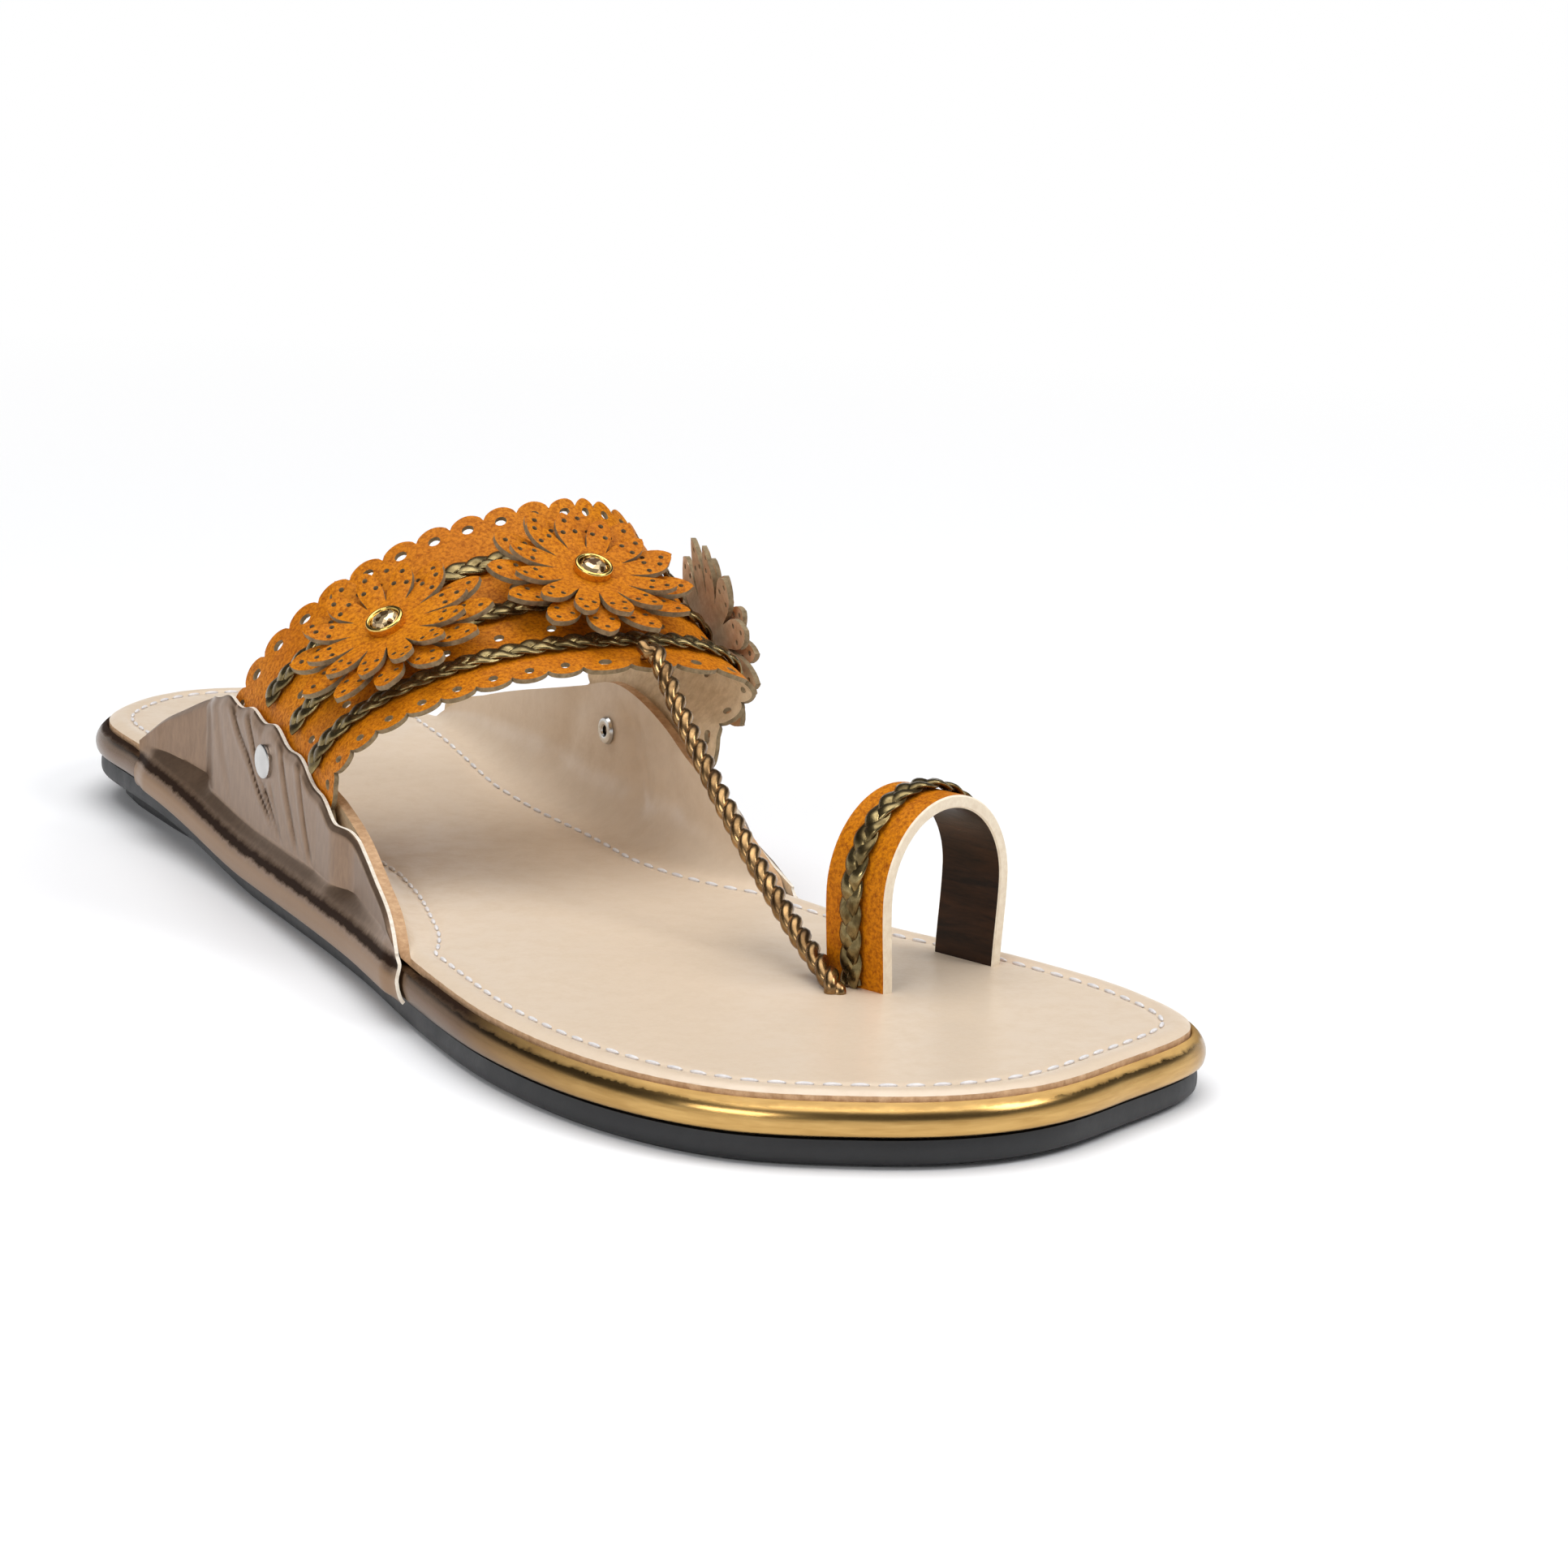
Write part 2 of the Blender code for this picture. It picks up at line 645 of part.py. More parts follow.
def rivet_hole(side, name):
    """Cutter for the rivet's shank."""
    point, reach = rivet_place(side)
    radius = RIVET_SHANK_RADIUS + GAP
    profile = ((0.0, -3 * MM), (radius, -3 * MM), (radius, reach + 3 * MM), (0.0, reach + 3 * MM))
    word = "lateral" if side == LATERAL else "medial"
    return turned("rivet_hole_" + word + "_" + name, profile, point, Vector((side, 0, 0)), "rubber", 14)


def build_rivet(side, name):
    """Rivet with a round head outside and a hollow rolled end inside."""
    point, reach = rivet_place(side)
    foot, head = -GAP, reach + GAP
    profile = (
        (0.0, foot + 1.2 * MM),
        (RIVET_BORE_RADIUS, foot + 1.2 * MM),
        (RIVET_BORE_RADIUS, foot - 0.2 * MM),
        (0.5 * (RIVET_BORE_RADIUS + RIVET_FLANGE_RADIUS), foot - RIVET_FLANGE_HEIGHT),
        (RIVET_FLANGE_RADIUS, foot - 0.4 * RIVET_FLANGE_HEIGHT),
        (RIVET_FLANGE_RADIUS, foot),
        (RIVET_SHANK_RADIUS, foot),
        (RIVET_SHANK_RADIUS, head),
        (RIVET_HEAD_RADIUS, head),
        (RIVET_HEAD_RADIUS, head + 0.5 * RIVET_HEAD_HEIGHT),
        (0.8 * RIVET_HEAD_RADIUS, head + 0.9 * RIVET_HEAD_HEIGHT),
        (0.0, head + RIVET_HEAD_HEIGHT),
    )
    return turned(name, profile, point, Vector((side, 0, 0)), "silver_metal", 16)


# Instep band

def arch_share(a):
    """Place on the arch alone, from a place on the band with its two feet."""
    return min(max((a - LEG_PART) / (1 - 2 * LEG_PART), 0.0), 1.0)


def band_place(arch):
    """Place on the band with its feet, from a place on the arch alone."""
    return LEG_PART + arch * (1 - 2 * LEG_PART)


def band_along(arch, across):
    """Distance from the heel of a place on the arch, across from its rear to its front edge."""
    width = BAND_FRONT - BAND_REAR
    rear = BAND_REAR + width * smooth_table(BAND_PLAN, 1, arch)
    front = BAND_FRONT + width * smooth_table(BAND_PLAN, 2, arch)
    return rear + across * (front - rear)


def band_seat(side, along):
    """Distance from the middle line to the middle of the band, between ear and cover."""
    inside = EAR_THICKNESS - ear_inset(side) * ear_fullness(side, along)
    return half_width(side, along) + inside + GAP + BAND_THICKNESS / 2


def band_shoulder(side):
    """Height over the insole where the band's upright foot turns into the arch."""
    return BAND_SHOULDER_LATERAL if side == LATERAL else BAND_SHOULDER_MEDIAL


def arch_point(arch, across):
    """Middle of the arch's wall: arch from the lateral shoulder over the crown to the medial one."""
    along = band_along(arch, across)
    crown = BAND_CROWN_REAR + (BAND_CROWN_FRONT - BAND_CROWN_REAR) * across
    crown -= BAND_CROWN_SAG * 4 * across * (1 - across)
    shift = BAND_CROWN_SHIFT_REAR + (BAND_CROWN_SHIFT_FRONT - BAND_CROWN_SHIFT_REAR) * across
    side = LATERAL if arch < CROWN_PLACE else MEDIAL
    span = CROWN_PLACE if side == LATERAL else 1 - CROWN_PLACE
    quarter = math.pi / 2 * min(abs(arch - CROWN_PLACE) / span, 1.0)
    power = 2 / (SHOULDER_LATERAL if side == LATERAL else SHOULDER_MEDIAL)
    reach = side * band_seat(side, along) - shift
    shoulder = band_shoulder(side)
    height = shoulder + (crown - shoulder) * max(math.cos(quarter), 0.0) ** power
    x = shift + reach * math.sin(quarter) ** power
    if side == MEDIAL:
        above = 1 - quarter / (math.pi / 2)
        x += BAND_BULGE_MEDIAL * 6.75 * above * (1 - above) ** 2
    return on_insole(x, along, height)


def measure_arch(steps=240):
    """Share of the arch's length run at evenly spaced places, along its middle."""
    points = [arch_point(index / steps, 0.5) for index in range(steps + 1)]
    runs = [0.0]
    for before, after in zip(points, points[1:]):
        runs.append(runs[-1] + (after - before).length)
    return [run / runs[-1] for run in runs]


ARCH_RUNS = measure_arch()


def arch_at(share):
    """Place on the arch at a share of its length."""
    low, high = 0, len(ARCH_RUNS) - 1
    while high - low > 1:
        middle = (low + high) // 2
        if ARCH_RUNS[middle] <= share:
            low = middle
        else:
            high = middle
    step = (share - ARCH_RUNS[low]) / (ARCH_RUNS[high] - ARCH_RUNS[low])
    return (low + min(max(step, 0.0), 1.0)) / (len(ARCH_RUNS) - 1)


def band_surface(a, across):
    """Middle of the band's wall: a from the lateral foot over the crown to the medial foot."""
    arch = arch_at(arch_share(a))
    if LEG_PART <= a <= 1 - LEG_PART:
        return arch_point(arch, across)
    side = LATERAL if a < 0.5 else MEDIAL
    along = band_along(arch, across)
    height = BAND_FOOT + (band_shoulder(side) - BAND_FOOT) * min(a, 1 - a) / LEG_PART
    return on_insole(side * band_seat(side, along), along, height)


def edge_reach(a, count):
    """How far a scalloped edge stands out at a place on the arch, from 0 to 1."""
    return abs(math.sin(math.pi * count * a)) ** 0.6


def scalloped_surface(a, b):
    """The band's wall with scallops: b from the rear edge to the front edge."""
    width = BAND_FRONT - BAND_REAR
    depth = SCALLOP_DEPTH / width
    rear = depth * (1 - edge_reach(a, SCALLOPS_REAR))
    front = 1 - depth * (1 - edge_reach(a, SCALLOPS_FRONT))
    return band_surface(a, rear + b * (front - rear))


def band_rows():
    """Places on the arch that catch each notch, shoulder and tip of both scalloped edges."""
    rows = set()
    for count in (SCALLOPS_REAR, SCALLOPS_FRONT):
        for index in range(count):
            rows.update(round((index + part) / count, 5) for part in (0.0, 0.3, 0.7, 1.0))
    kept = []
    for value in sorted(rows):
        if not kept or value - kept[-1] > 0.003:
            kept.append(value)
    kept[-1] = 1.0
    return kept


def build_band():
    """Orange instep band with scalloped edges."""
    half = BAND_THICKNESS / 2
    columns = [0.0, 0.12, 0.37, 0.63, 0.88, 1.0]
    band = sheet("instep_band", scalloped_surface, band_rows(), columns, -half, half, "orange_leather")
    for side in (LATERAL, MEDIAL):
        cut(band, rivet_hole(side, "band"))
    triangulate(band)
    return band


def band_frame(a, across, offset):
    """Point over the band's outer face, with the axis along the arch and the outward normal."""
    step = 1e-4
    along_arch = (band_surface(a + step, across) - band_surface(a - step, across)).normalized()
    along_sole = band_surface(a, across + step) - band_surface(a, across - step)
    normal = along_sole.cross(along_arch).normalized()
    point = band_surface(a, across) + normal * (BAND_THICKNESS / 2 + offset)
    return point, along_arch, normal


def braid_section():
    """Low rounded section of a braid."""
    half, top = BRAID_WIDTH / 2, BRAID_THICKNESS
    return ((-half, 0.0), (half, 0.0), (0.95 * half, 0.6 * top), (0.35 * half, top), (-0.35 * half, top),
            (-0.95 * half, 0.6 * top))


def braid_range(across):
    """Part of the arch where a braid shows over both covers."""
    clearance, step, spare = 0.8 * MM, 0.002, 0.012
    found = []
    for side in (LATERAL, MEDIAL):
        a = 0.0 if side == LATERAL else 1.0
        while True:
            along = band_along(arch_at(arch_share(a)), across)
            top = INSOLE_TOP + sole_lift(along) + cover_height(side, along) + clearance
            if band_surface(a, across).z > top:
                break
            a -= side * step
        found.append(a - side * spare)
    return found


def build_braid(name, across):
    """Flat braid sewn along the band, from cover to cover."""
    first, last = braid_range(across)
    frames = []
    for share in shares(34):
        point, tangent, normal = band_frame(first + share * (last - first), across, GAP)
        frames.append((point, normal.cross(tangent), normal))
    return swept(name, frames, braid_section(), "antique_gold", 50)


# Flowers and gems

def arch_scale(a, across):
    """Metres of band per unit of the arch place and per unit across."""
    step = 1e-3
    along_arch = (band_surface(a + step, across) - band_surface(a - step, across)).length / (2 * step)
    along_sole = (band_surface(a, across + step) - band_surface(a, across - step)).length / (2 * step)
    return along_arch, along_sole


def flower_frame(a, across):
    """Centre of a flower on the band, its three axes and how the band bends along two of them."""
    centre, arch_axis, normal = band_frame(a, across, 0.0)
    sole_axis = normal.cross(arch_axis).normalized()
    arch, sole = arch_scale(a, across)
    probe = 0.6 * FLOWER_RADIUS_LOWER

    def bend(da, db):
        fall = [centre - band_frame(a + sign * da, across + sign * db, 0.0)[0] for sign in (-1, 1)]
        return min(step.dot(normal) for step in fall) / probe**2

    bends = (FLOWER_FOLLOW * bend(probe / arch, 0.0), bend(0.0, probe / sole))
    return centre, (arch_axis, sole_axis, normal), bends


def on_flower(frame, radius, turn, offset, reach):
    """Point over the band at a polar place round a flower's centre, its rim curled up."""
    centre, (arch_axis, sole_axis, normal), bends = frame
    x, y = radius * math.cos(turn), radius * math.sin(turn)
    height = offset + FLOWER_CURL * (radius / reach) ** 2 - bends[0] * x * x - bends[1] * y * y
    return centre + arch_axis * x + sole_axis * y + normal * height


def build_flower_layer(name, frame, reach, offset, phase):
    """One leather layer of a flower, with a ring of petals."""
    sides = FLOWER_PETALS * 3
    verts, faces = [], []
    for height in (offset, offset + FLOWER_THICKNESS):
        verts.append(on_flower(frame, 0.0, 0.0, height, reach))
        for level in (0.4, 1.0):
            for index in range(sides):
                notch = index % 3 == 0
                turn = math.tau * index / sides + phase
                shape = (0.45 if notch else 1.0) if level == 1.0 else level
                verts.append(on_flower(frame, shape * reach, turn, height, reach))
    layer = 1 + 2 * sides
    for base in (0, layer):
        for index in range(sides):
            after = (index + 1) % sides
            inner, inner_after = base + 1 + index, base + 1 + after
            outer, outer_after = inner + sides, inner_after + sides
            faces.append((base, inner, inner_after))
            faces.append((inner, outer, outer_after, inner_after))
    for index in range(sides):
        after = (index + 1) % sides
        a1, a2 = 1 + sides + index, 1 + sides + after
        faces.append((a1, a2, layer + a2, layer + a1))
    return add_object(name, verts, faces, "orange_leather", 40)


def build_flower(word, a, across):
    """Two layers of petals, a gold rim and a crystal."""
    lower = BRAID_THICKNESS + 3 * GAP
    upper = lower + FLOWER_THICKNESS + GAP
    frame = flower_frame(a, across)
    build_flower_layer("flower_" + word + "_lower", frame, FLOWER_RADIUS_LOWER, lower, 0.0)
    half_petal = math.pi / FLOWER_PETALS
    build_flower_layer("flower_" + word + "_upper", frame, FLOWER_RADIUS_UPPER, upper, half_petal)
    top = upper + FLOWER_THICKNESS + GAP
    centre, _, normal = band_frame(a, across, top)
    rim = ((GEM_RADIUS, 0.0), (GEM_RADIUS, 0.5 * GEM_HEIGHT), (GEM_RADIUS - 0.4 * GEM_RIM, 0.8 * GEM_HEIGHT),
           (GEM_RADIUS - GEM_RIM, 0.7 * GEM_HEIGHT), (GEM_RADIUS - GEM_RIM, 0.0), (GEM_RADIUS, 0.0))
    turned("gem_rim_" + word, rim, centre, normal, "gold_metal", 16)
    stone = GEM_RADIUS - GEM_RIM - GAP
    girdle, table = 0.45 * GEM_HEIGHT, 0.55 * stone
    profile = ((0.0, 0.0), (stone, 0.0), (stone, girdle), (table, GEM_HEIGHT), (0.0, GEM_HEIGHT))
    turned("gem_" + word, profile, centre, normal, "champagne_crystal", 10)


# Toe loop and T cord

def loop_axes():
    """Unit axes of the toe loop: across the toe and along the toe."""
    across = Vector((math.cos(LOOP_YAW), math.sin(LOOP_YAW), 0.0))
    ahead = Vector((math.sin(LOOP_YAW), -math.cos(LOOP_YAW), 0.0))
    return across, ahead


def loop_middle(share):
    """Middle of the loop's wall in its own plane: distance across and height over the insole."""
    foot = -INSOLE_THICKNESS + GAP
    half = (LOOP_SPAN - LOOP_THICKNESS) / 2
    top = LOOP_HEIGHT - LOOP_THICKNESS / 2
    shoulder = top - 1.1 * half
    leg = shoulder - foot
    arc = 0.52 * math.pi * half * 1.05
    run = share * 2 * (leg + arc)
    bulge = 0.8 * MM
    if run < leg or run > leg + 2 * arc:
        side = LATERAL if run < leg else MEDIAL
        height = foot + (run if side == LATERAL else 2 * (leg + arc) - run)
        swell = bulge * smoothstep(0.0, 1.0, (height - foot) / leg)
        return side * (half + swell), height
    turn = math.pi * ((run - leg) / (2 * arc))
    return -(half + bulge) * math.cos(turn), shoulder + 1.1 * half * math.sin(turn)


def loop_point(share, along_toe, offset):
    """Point on the toe loop: share of its run, place along the toe and offset outward."""
    step = 1e-4
    x, z = loop_middle(share)
    x0, z0 = loop_middle(max(share - step, 0.0))
    x1, z1 = loop_middle(min(share + step, 1.0))
    size = math.hypot(x1 - x0, z1 - z0)
    nx, nz = -(z1 - z0) / size, (x1 - x0) / size
    across, ahead = loop_axes()
    centre = on_insole(LOOP_CENTRE_MEDIAL, LOOP_CENTRE_ALONG, z + nz * offset)
    return centre + across * (x + nx * offset) + ahead * along_toe


def build_toe_loop():
    """Upright loop for the big toe, its legs let into the insole."""
    half, wall = LOOP_WIDTH / 2, LOOP_THICKNESS / 2
    verts, faces = [], []
    rows = shares(36)
    corners = ((-half, -wall), (half, -wall), (half, wall), (-half, wall))
    for share in rows:
        verts += [loop_point(share, y, n) for y, n in corners]
    faces = [(0, 1, 2, 3), tuple(range(len(verts) - 4, len(verts)))]
    for index in range(len(rows) - 1):
        for corner in range(4):
            a, b = 4 * index + corner, 4 * index + (corner + 1) % 4
            faces.append((a, b, b + 4, a + 4))
    return add_object("toe_loop", verts, faces, "orange_leather", 40)


def build_loop_braid():
    """Flat braid over the middle of the toe loop."""
    rows = shares(32)
    foot = (INSOLE_THICKNESS + GAP) / (2.9 * LOOP_HEIGHT)
    verts = []
    section = braid_section()
    for share in rows:
        place_on_loop = foot + share * (1 - 2 * foot)
        verts += [loop_point(place_on_loop, x, LOOP_THICKNESS / 2 + GAP + y) for x, y in section]
    size = len(section)
    faces = [tuple(range(size)), tuple(range(len(verts) - size, len(verts)))]
    for index in range(len(rows) - 1):
        for corner in range(size):
            a, b = size * index + corner, size * index + (corner + 1) % size
            faces.append((a, b, b + size, a + size))
    return add_object("toe_loop_braid", verts, faces, "antique_gold", 50)


def loop_slot(side, name):
    """Cutter for one leg of the toe loop in the insole."""
    across, ahead = loop_axes()
    centre = on_insole(LOOP_CENTRE_MEDIAL, LOOP_CENTRE_ALONG, 0.0)
    centre += across * side * (LOOP_SPAN - LOOP_THICKNESS) / 2
    half_x, half_y, half_z = LOOP_THICKNESS / 2 + GAP, LOOP_WIDTH / 2 + GAP, 4 * MM
    verts = []
    for z in (-half_z, half_z):
        for x, y in ((-half_x, -half_y), (half_x, -half_y), (half_x, half_y), (-half_x, half_y)):
            verts.append(centre + across * x + ahead * y + Vector((0, 0, z)))
    faces = ((0, 1, 2, 3), (4, 5, 6, 7), (0, 1, 5, 4), (1, 2, 6, 5), (2, 3, 7, 6), (3, 0, 4, 7))
    return add_object(name, verts, faces, "rubber")


def cord_route():
    """Middle line of the cord: from beside the front braid, over the band's edge, down to its hole."""
    radius = CORD_DIAMETER / 2
    start, _, _ = band_frame(band_place(CORD_START[0]), CORD_START[1], radius + GAP)
    edge, _, normal = band_frame(band_place(CORD_EDGE[0]), CORD_EDGE[1], radius + GAP)
    foot = on_insole(CORD_FOOT_MEDIAL, CORD_FOOT_ALONG, -INSOLE_THICKNESS + GAP)
    top_of_hole = on_insole(CORD_FOOT_MEDIAL, CORD_FOOT_ALONG, 1.0 * MM)
    points = [start, start.lerp(edge, 0.55) + normal * 0.1 * MM, edge + normal * 0.2 * MM]
    for share in (0.15, 0.32, 0.5, 0.68, 0.84):
        sag = Vector((0, 0, -4 * share * (1 - share) * CORD_SAG))
        points.append(edge.lerp(top_of_hole, share) + sag)
    return points + [top_of_hole, foot]


def curve_through(points, count):
    """Evenly placed points on a smooth curve through the given ones."""
    def at(t):
        index = min(int(t), len(points) - 2)
        f = t - index
        p1, p2 = points[index], points[index + 1]
        p0 = points[index - 1] if index else p1 * 2 - p2
        p3 = points[index + 2] if index + 2 < len(points) else p2 * 2 - p1
        return 0.5 * (2 * p1 + (p2 - p0) * f + (2 * p0 - 5 * p1 + 4 * p2 - p3) * f * f
                      + (3 * p1 - p0 - 3 * p2 + p3) * f * f * f)

    fine = [at(index * (len(points) - 1) / 400) for index in range(401)]
    lengths = [0.0]
    for before, after in zip(fine, fine[1:]):
        lengths.append(lengths[-1] + (after - before).length)
    placed, index = [], 0
    for step in range(count + 1):
        target = lengths[-1] * step / count
        while index < 399 and lengths[index + 1] < target:
            index += 1
        share = (target - lengths[index]) / (lengths[index + 1] - lengths[index])
        placed.append(fine[index].lerp(fine[index + 1], min(share, 1.0)))
    return placed


def build_cord():
    """Twisted T cord, here as its plain outer round."""
    points = curve_through(cord_route(), 34)
    data = bpy.data.curves.new("t_cord", "CURVE")
    data.dimensions = "3D"
    data.bevel_depth = CORD_DIAMETER / 2
    data.bevel_resolution = 2
    data.use_fill_caps = True
    spline = data.splines.new("POLY")
    spline.points.add(len(points) - 1)
    for slot, point in zip(spline.points, points):
        slot.co = (*point, 1.0)
    spline.use_smooth = True
    data.materials.append(make_material("twisted_gold"))
    item = bpy.data.objects.new("t_cord", data)
    bpy.context.collection.objects.link(item)
    return item


def centre_on_floor():
    """Put the middle of the sandal's box over the origin, with its lowest point on the floor."""
    bpy.context.view_layer.update()
    graph = bpy.context.evaluated_depsgraph_get()
    low, high = Vector((1, 1, 1)), Vector((-1, -1, -1))
    for item in bpy.data.objects:
        if item.hide_render:
            continue
        seen = item.evaluated_get(graph)
        for corner in (v.co for v in seen.to_mesh().vertices):
            low = Vector(map(min, low, corner))
            high = Vector(map(max, high, corner))
        seen.to_mesh_clear()
    shift = Vector((-(low.x + high.x) / 2, -(low.y + high.y) / 2, -low.z))
    for item in bpy.data.objects:
        item.location = item.location + shift


def build_sandal():
    """Build every piece of the sandal."""
    clear_scene()
    build_outsole()
    build_heel_block()
    build_rand()
    build_insole()
    build_cover(LATERAL, "ear_cover_lateral")
    build_cover(MEDIAL, "ear_cover_medial")
    build_rivet(LATERAL, "rivet_lateral")
    build_rivet(MEDIAL, "rivet_medial")
    build_band()
    for name, across in BRAIDS:
        build_braid(name, across)
    for word, arch, across in FLOWERS:
        build_flower(word, band_place(arch), across)
    build_toe_loop()
    build_loop_braid()
    build_cord()
    centre_on_floor()


build_sandal()
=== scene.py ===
"""The looks of a kolhapuri sandal for the right foot, built round its plain solids.

Leather pieces are cut flat and laid on the same surfaces as the solids: a scalloped band,
petals with punched holes, plaits, a two-ply cord, a stitched insole and veined covers.
The toe points to -Y, the big toe side is +X, and the sandal stands on Z = 0.
"""
import json
import math
import random

import bmesh
import bpy
import numpy as np
from mathutils import Matrix, Vector
from mathutils.geometry import delaunay_2d_cdt

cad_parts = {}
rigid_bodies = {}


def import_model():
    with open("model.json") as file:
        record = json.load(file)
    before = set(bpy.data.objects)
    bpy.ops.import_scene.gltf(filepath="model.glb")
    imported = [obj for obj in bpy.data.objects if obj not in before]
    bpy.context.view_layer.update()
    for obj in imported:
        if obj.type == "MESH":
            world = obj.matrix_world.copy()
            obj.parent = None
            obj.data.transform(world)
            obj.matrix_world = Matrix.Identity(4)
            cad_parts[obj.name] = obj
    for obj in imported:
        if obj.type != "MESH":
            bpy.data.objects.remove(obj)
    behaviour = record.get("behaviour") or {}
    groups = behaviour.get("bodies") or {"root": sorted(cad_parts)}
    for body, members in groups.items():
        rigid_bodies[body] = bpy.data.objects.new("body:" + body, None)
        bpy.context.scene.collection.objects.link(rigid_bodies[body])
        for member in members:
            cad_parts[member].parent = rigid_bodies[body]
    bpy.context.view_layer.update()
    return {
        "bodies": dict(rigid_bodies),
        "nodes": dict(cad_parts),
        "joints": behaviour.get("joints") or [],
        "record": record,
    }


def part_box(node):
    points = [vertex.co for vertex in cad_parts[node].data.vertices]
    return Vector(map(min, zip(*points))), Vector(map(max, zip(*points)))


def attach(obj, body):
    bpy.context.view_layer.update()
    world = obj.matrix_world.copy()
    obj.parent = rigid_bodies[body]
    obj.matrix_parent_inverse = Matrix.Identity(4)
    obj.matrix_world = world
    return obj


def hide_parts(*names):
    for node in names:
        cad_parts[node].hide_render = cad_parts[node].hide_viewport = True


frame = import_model()

MM = 0.001
LATERAL, MEDIAL = -1, 1
SIDES = ((LATERAL, "lateral"), (MEDIAL, "medial"))
COLUMN = {LATERAL: 1, MEDIAL: 2}

# Flat cuttings are filled with triangles at this scale, this far apart
FILL_SCALE = 1000.0
BAND_FILL = 1.5 * MM
PETAL_FILL = 0.85 * MM

# Sole
INSOLE_LENGTH = 250.0 * MM
BALL_WIDTH = 84.0 * MM
OUTSOLE_THICKNESS = 3.7 * MM
RAND_THICKNESS = 4.2 * MM
INSOLE_THICKNESS = 1.6 * MM
HEEL_BLOCK_HEIGHT = 4.0 * MM
TOE_SPRING = 0.4 * MM
HEEL_END = 0.16 * INSOLE_LENGTH
BALL_START = 0.38 * INSOLE_LENGTH
SPRING_START = 0.86 * INSOLE_LENGTH
OUTSOLE_PROUD = 1.3 * MM
RAND_PROUD = 2.2 * MM
GAP = 0.3 * MM

# The rand's lip is pressed down between the ears' ends, and rises over this run past them
LIP_NEAR = 3.0 * MM
LIP_FAR = 9.0 * MM

# Side ears, their covers and rivets
EAR_HEIGHT = {LATERAL: 17.3 * MM, MEDIAL: 21.6 * MM}
EAR_THICKNESS = 1.5 * MM
EAR_INSET = {LATERAL: 4.3 * MM, MEDIAL: 2.6 * MM}
EAR_FILLET = 8.0 * MM
EAR_REAR = {LATERAL: 43.0 * MM, MEDIAL: 34.0 * MM}
EAR_FRONT = {LATERAL: 162.0 * MM, MEDIAL: 149.4 * MM}
EAR_FULL_SHARE = 0.7
EAR_FULL_POWER = 0.8
COVER_THICKNESS = 1.2 * MM
COVER_RISE_REAR = 1.7 * MM
COVER_RISE_FRONT = 0.3 * MM
COVER_SHARE = {LATERAL: 1.0, MEDIAL: 0.75}
COVER_TUCK = 1.35 * MM
COVER_CLOSING = 12.0 * MM
COVER_RAKE = 4.5 * MM
COVER_WAVE = 0.5 * MM
COVER_WAVE_PITCH = 11.0 * MM
COVER_WAVE_START = (-8 * MM, 4 * MM)
COVER_WAVE_END = (-36 * MM, -22 * MM)
RIVET_HEAD_RADIUS = 2.65 * MM
RIVET_FLANGE_RADIUS = 2.2 * MM
RIVET_FLANGE_HEIGHT = 0.6 * MM
RIVET_BORE_RADIUS = 0.8 * MM
RIVET_DISC = 0.5 * MM
RIVET_ALONG = 96.1 * MM
RIVET_HEIGHT = {LATERAL: 13.2 * MM, MEDIAL: 13.7 * MM}
RIVET_CLEARING = 1.5 * RIVET_HEAD_RADIUS

# Instep band and what is sewn on it
BAND_THICKNESS = 1.6 * MM
BAND_REAR = 75.3 * MM
BAND_FRONT = 123.0 * MM
BAND_FOOT = 4.0 * MM
BAND_SHOULDER = {LATERAL: 15.0 * MM, MEDIAL: 19.0 * MM}
BAND_CROWN_REAR = 50.7 * MM
BAND_CROWN_FRONT = 31.5 * MM
BAND_CROWN_SAG = 2.2 * MM
BAND_CROWN_SHIFT_REAR = 20.5 * MM
BAND_CROWN_SHIFT_FRONT = 5.0 * MM
BAND_BULGE_MEDIAL = 6.0 * MM
BULGE_PEAK = 6.75
SCALLOP_DEPTH = 1.9 * MM
SCALLOPS_REAR = 24
SCALLOPS_FRONT = 18
BAND_LEATHER = 1.05 * MM
BAND_HOLE_RADIUS = 0.92 * MM
BAND_HOLE_INSET = 2.9 * MM
BAND_HOLE_PITCH = 9.0 * MM
BRAID_WIDTH = 3.7 * MM
BRAID_THICKNESS = 1.5 * MM
PLAIT_PITCH = 10.5 * MM
PLAIT_LIFT = 0.75 * MM
PLAIT_SWAY = 0.23 * BRAID_WIDTH
PLAIT_RISE = 0.28 * MM
PLAIT_STRAND = (2.15 * MM, 0.75 * MM)
FLOWER_PETALS = 12
FLOWER_RADIUS_LOWER = 16.2 * MM
FLOWER_RADIUS_UPPER = 13.0 * MM
FLOWER_THICKNESS = 1.1 * MM
FLOWER_CURL = 1.4 * MM
FLOWER_FOLLOW = 0.55
PETAL_ROOT = 0.45
PETAL_HOLE_RADIUS = 0.42 * MM
PETAL_BURNISH = 0.12 * MM
PETAL_SLIT = 0.05 * MM
PETAL_OPENING = 0.012
PETAL_CUP = 0.25 * MM
PETAL_HALF = math.pi / FLOWER_PETALS
PETAL_MIDDLES = [math.tau * (petal + 0.5) / FLOWER_PETALS for petal in range(FLOWER_PETALS)]
GEM_RADIUS = 3.0 * MM
GEM_HEIGHT = 1.5 * MM
GEM_RIM = 0.7 * MM

# Holes of a petal: share of the way to its tip, share of its half width to the side
PETAL_HOLES = ((0.78, 0.0), (0.48, -0.5), (0.48, 0.5))

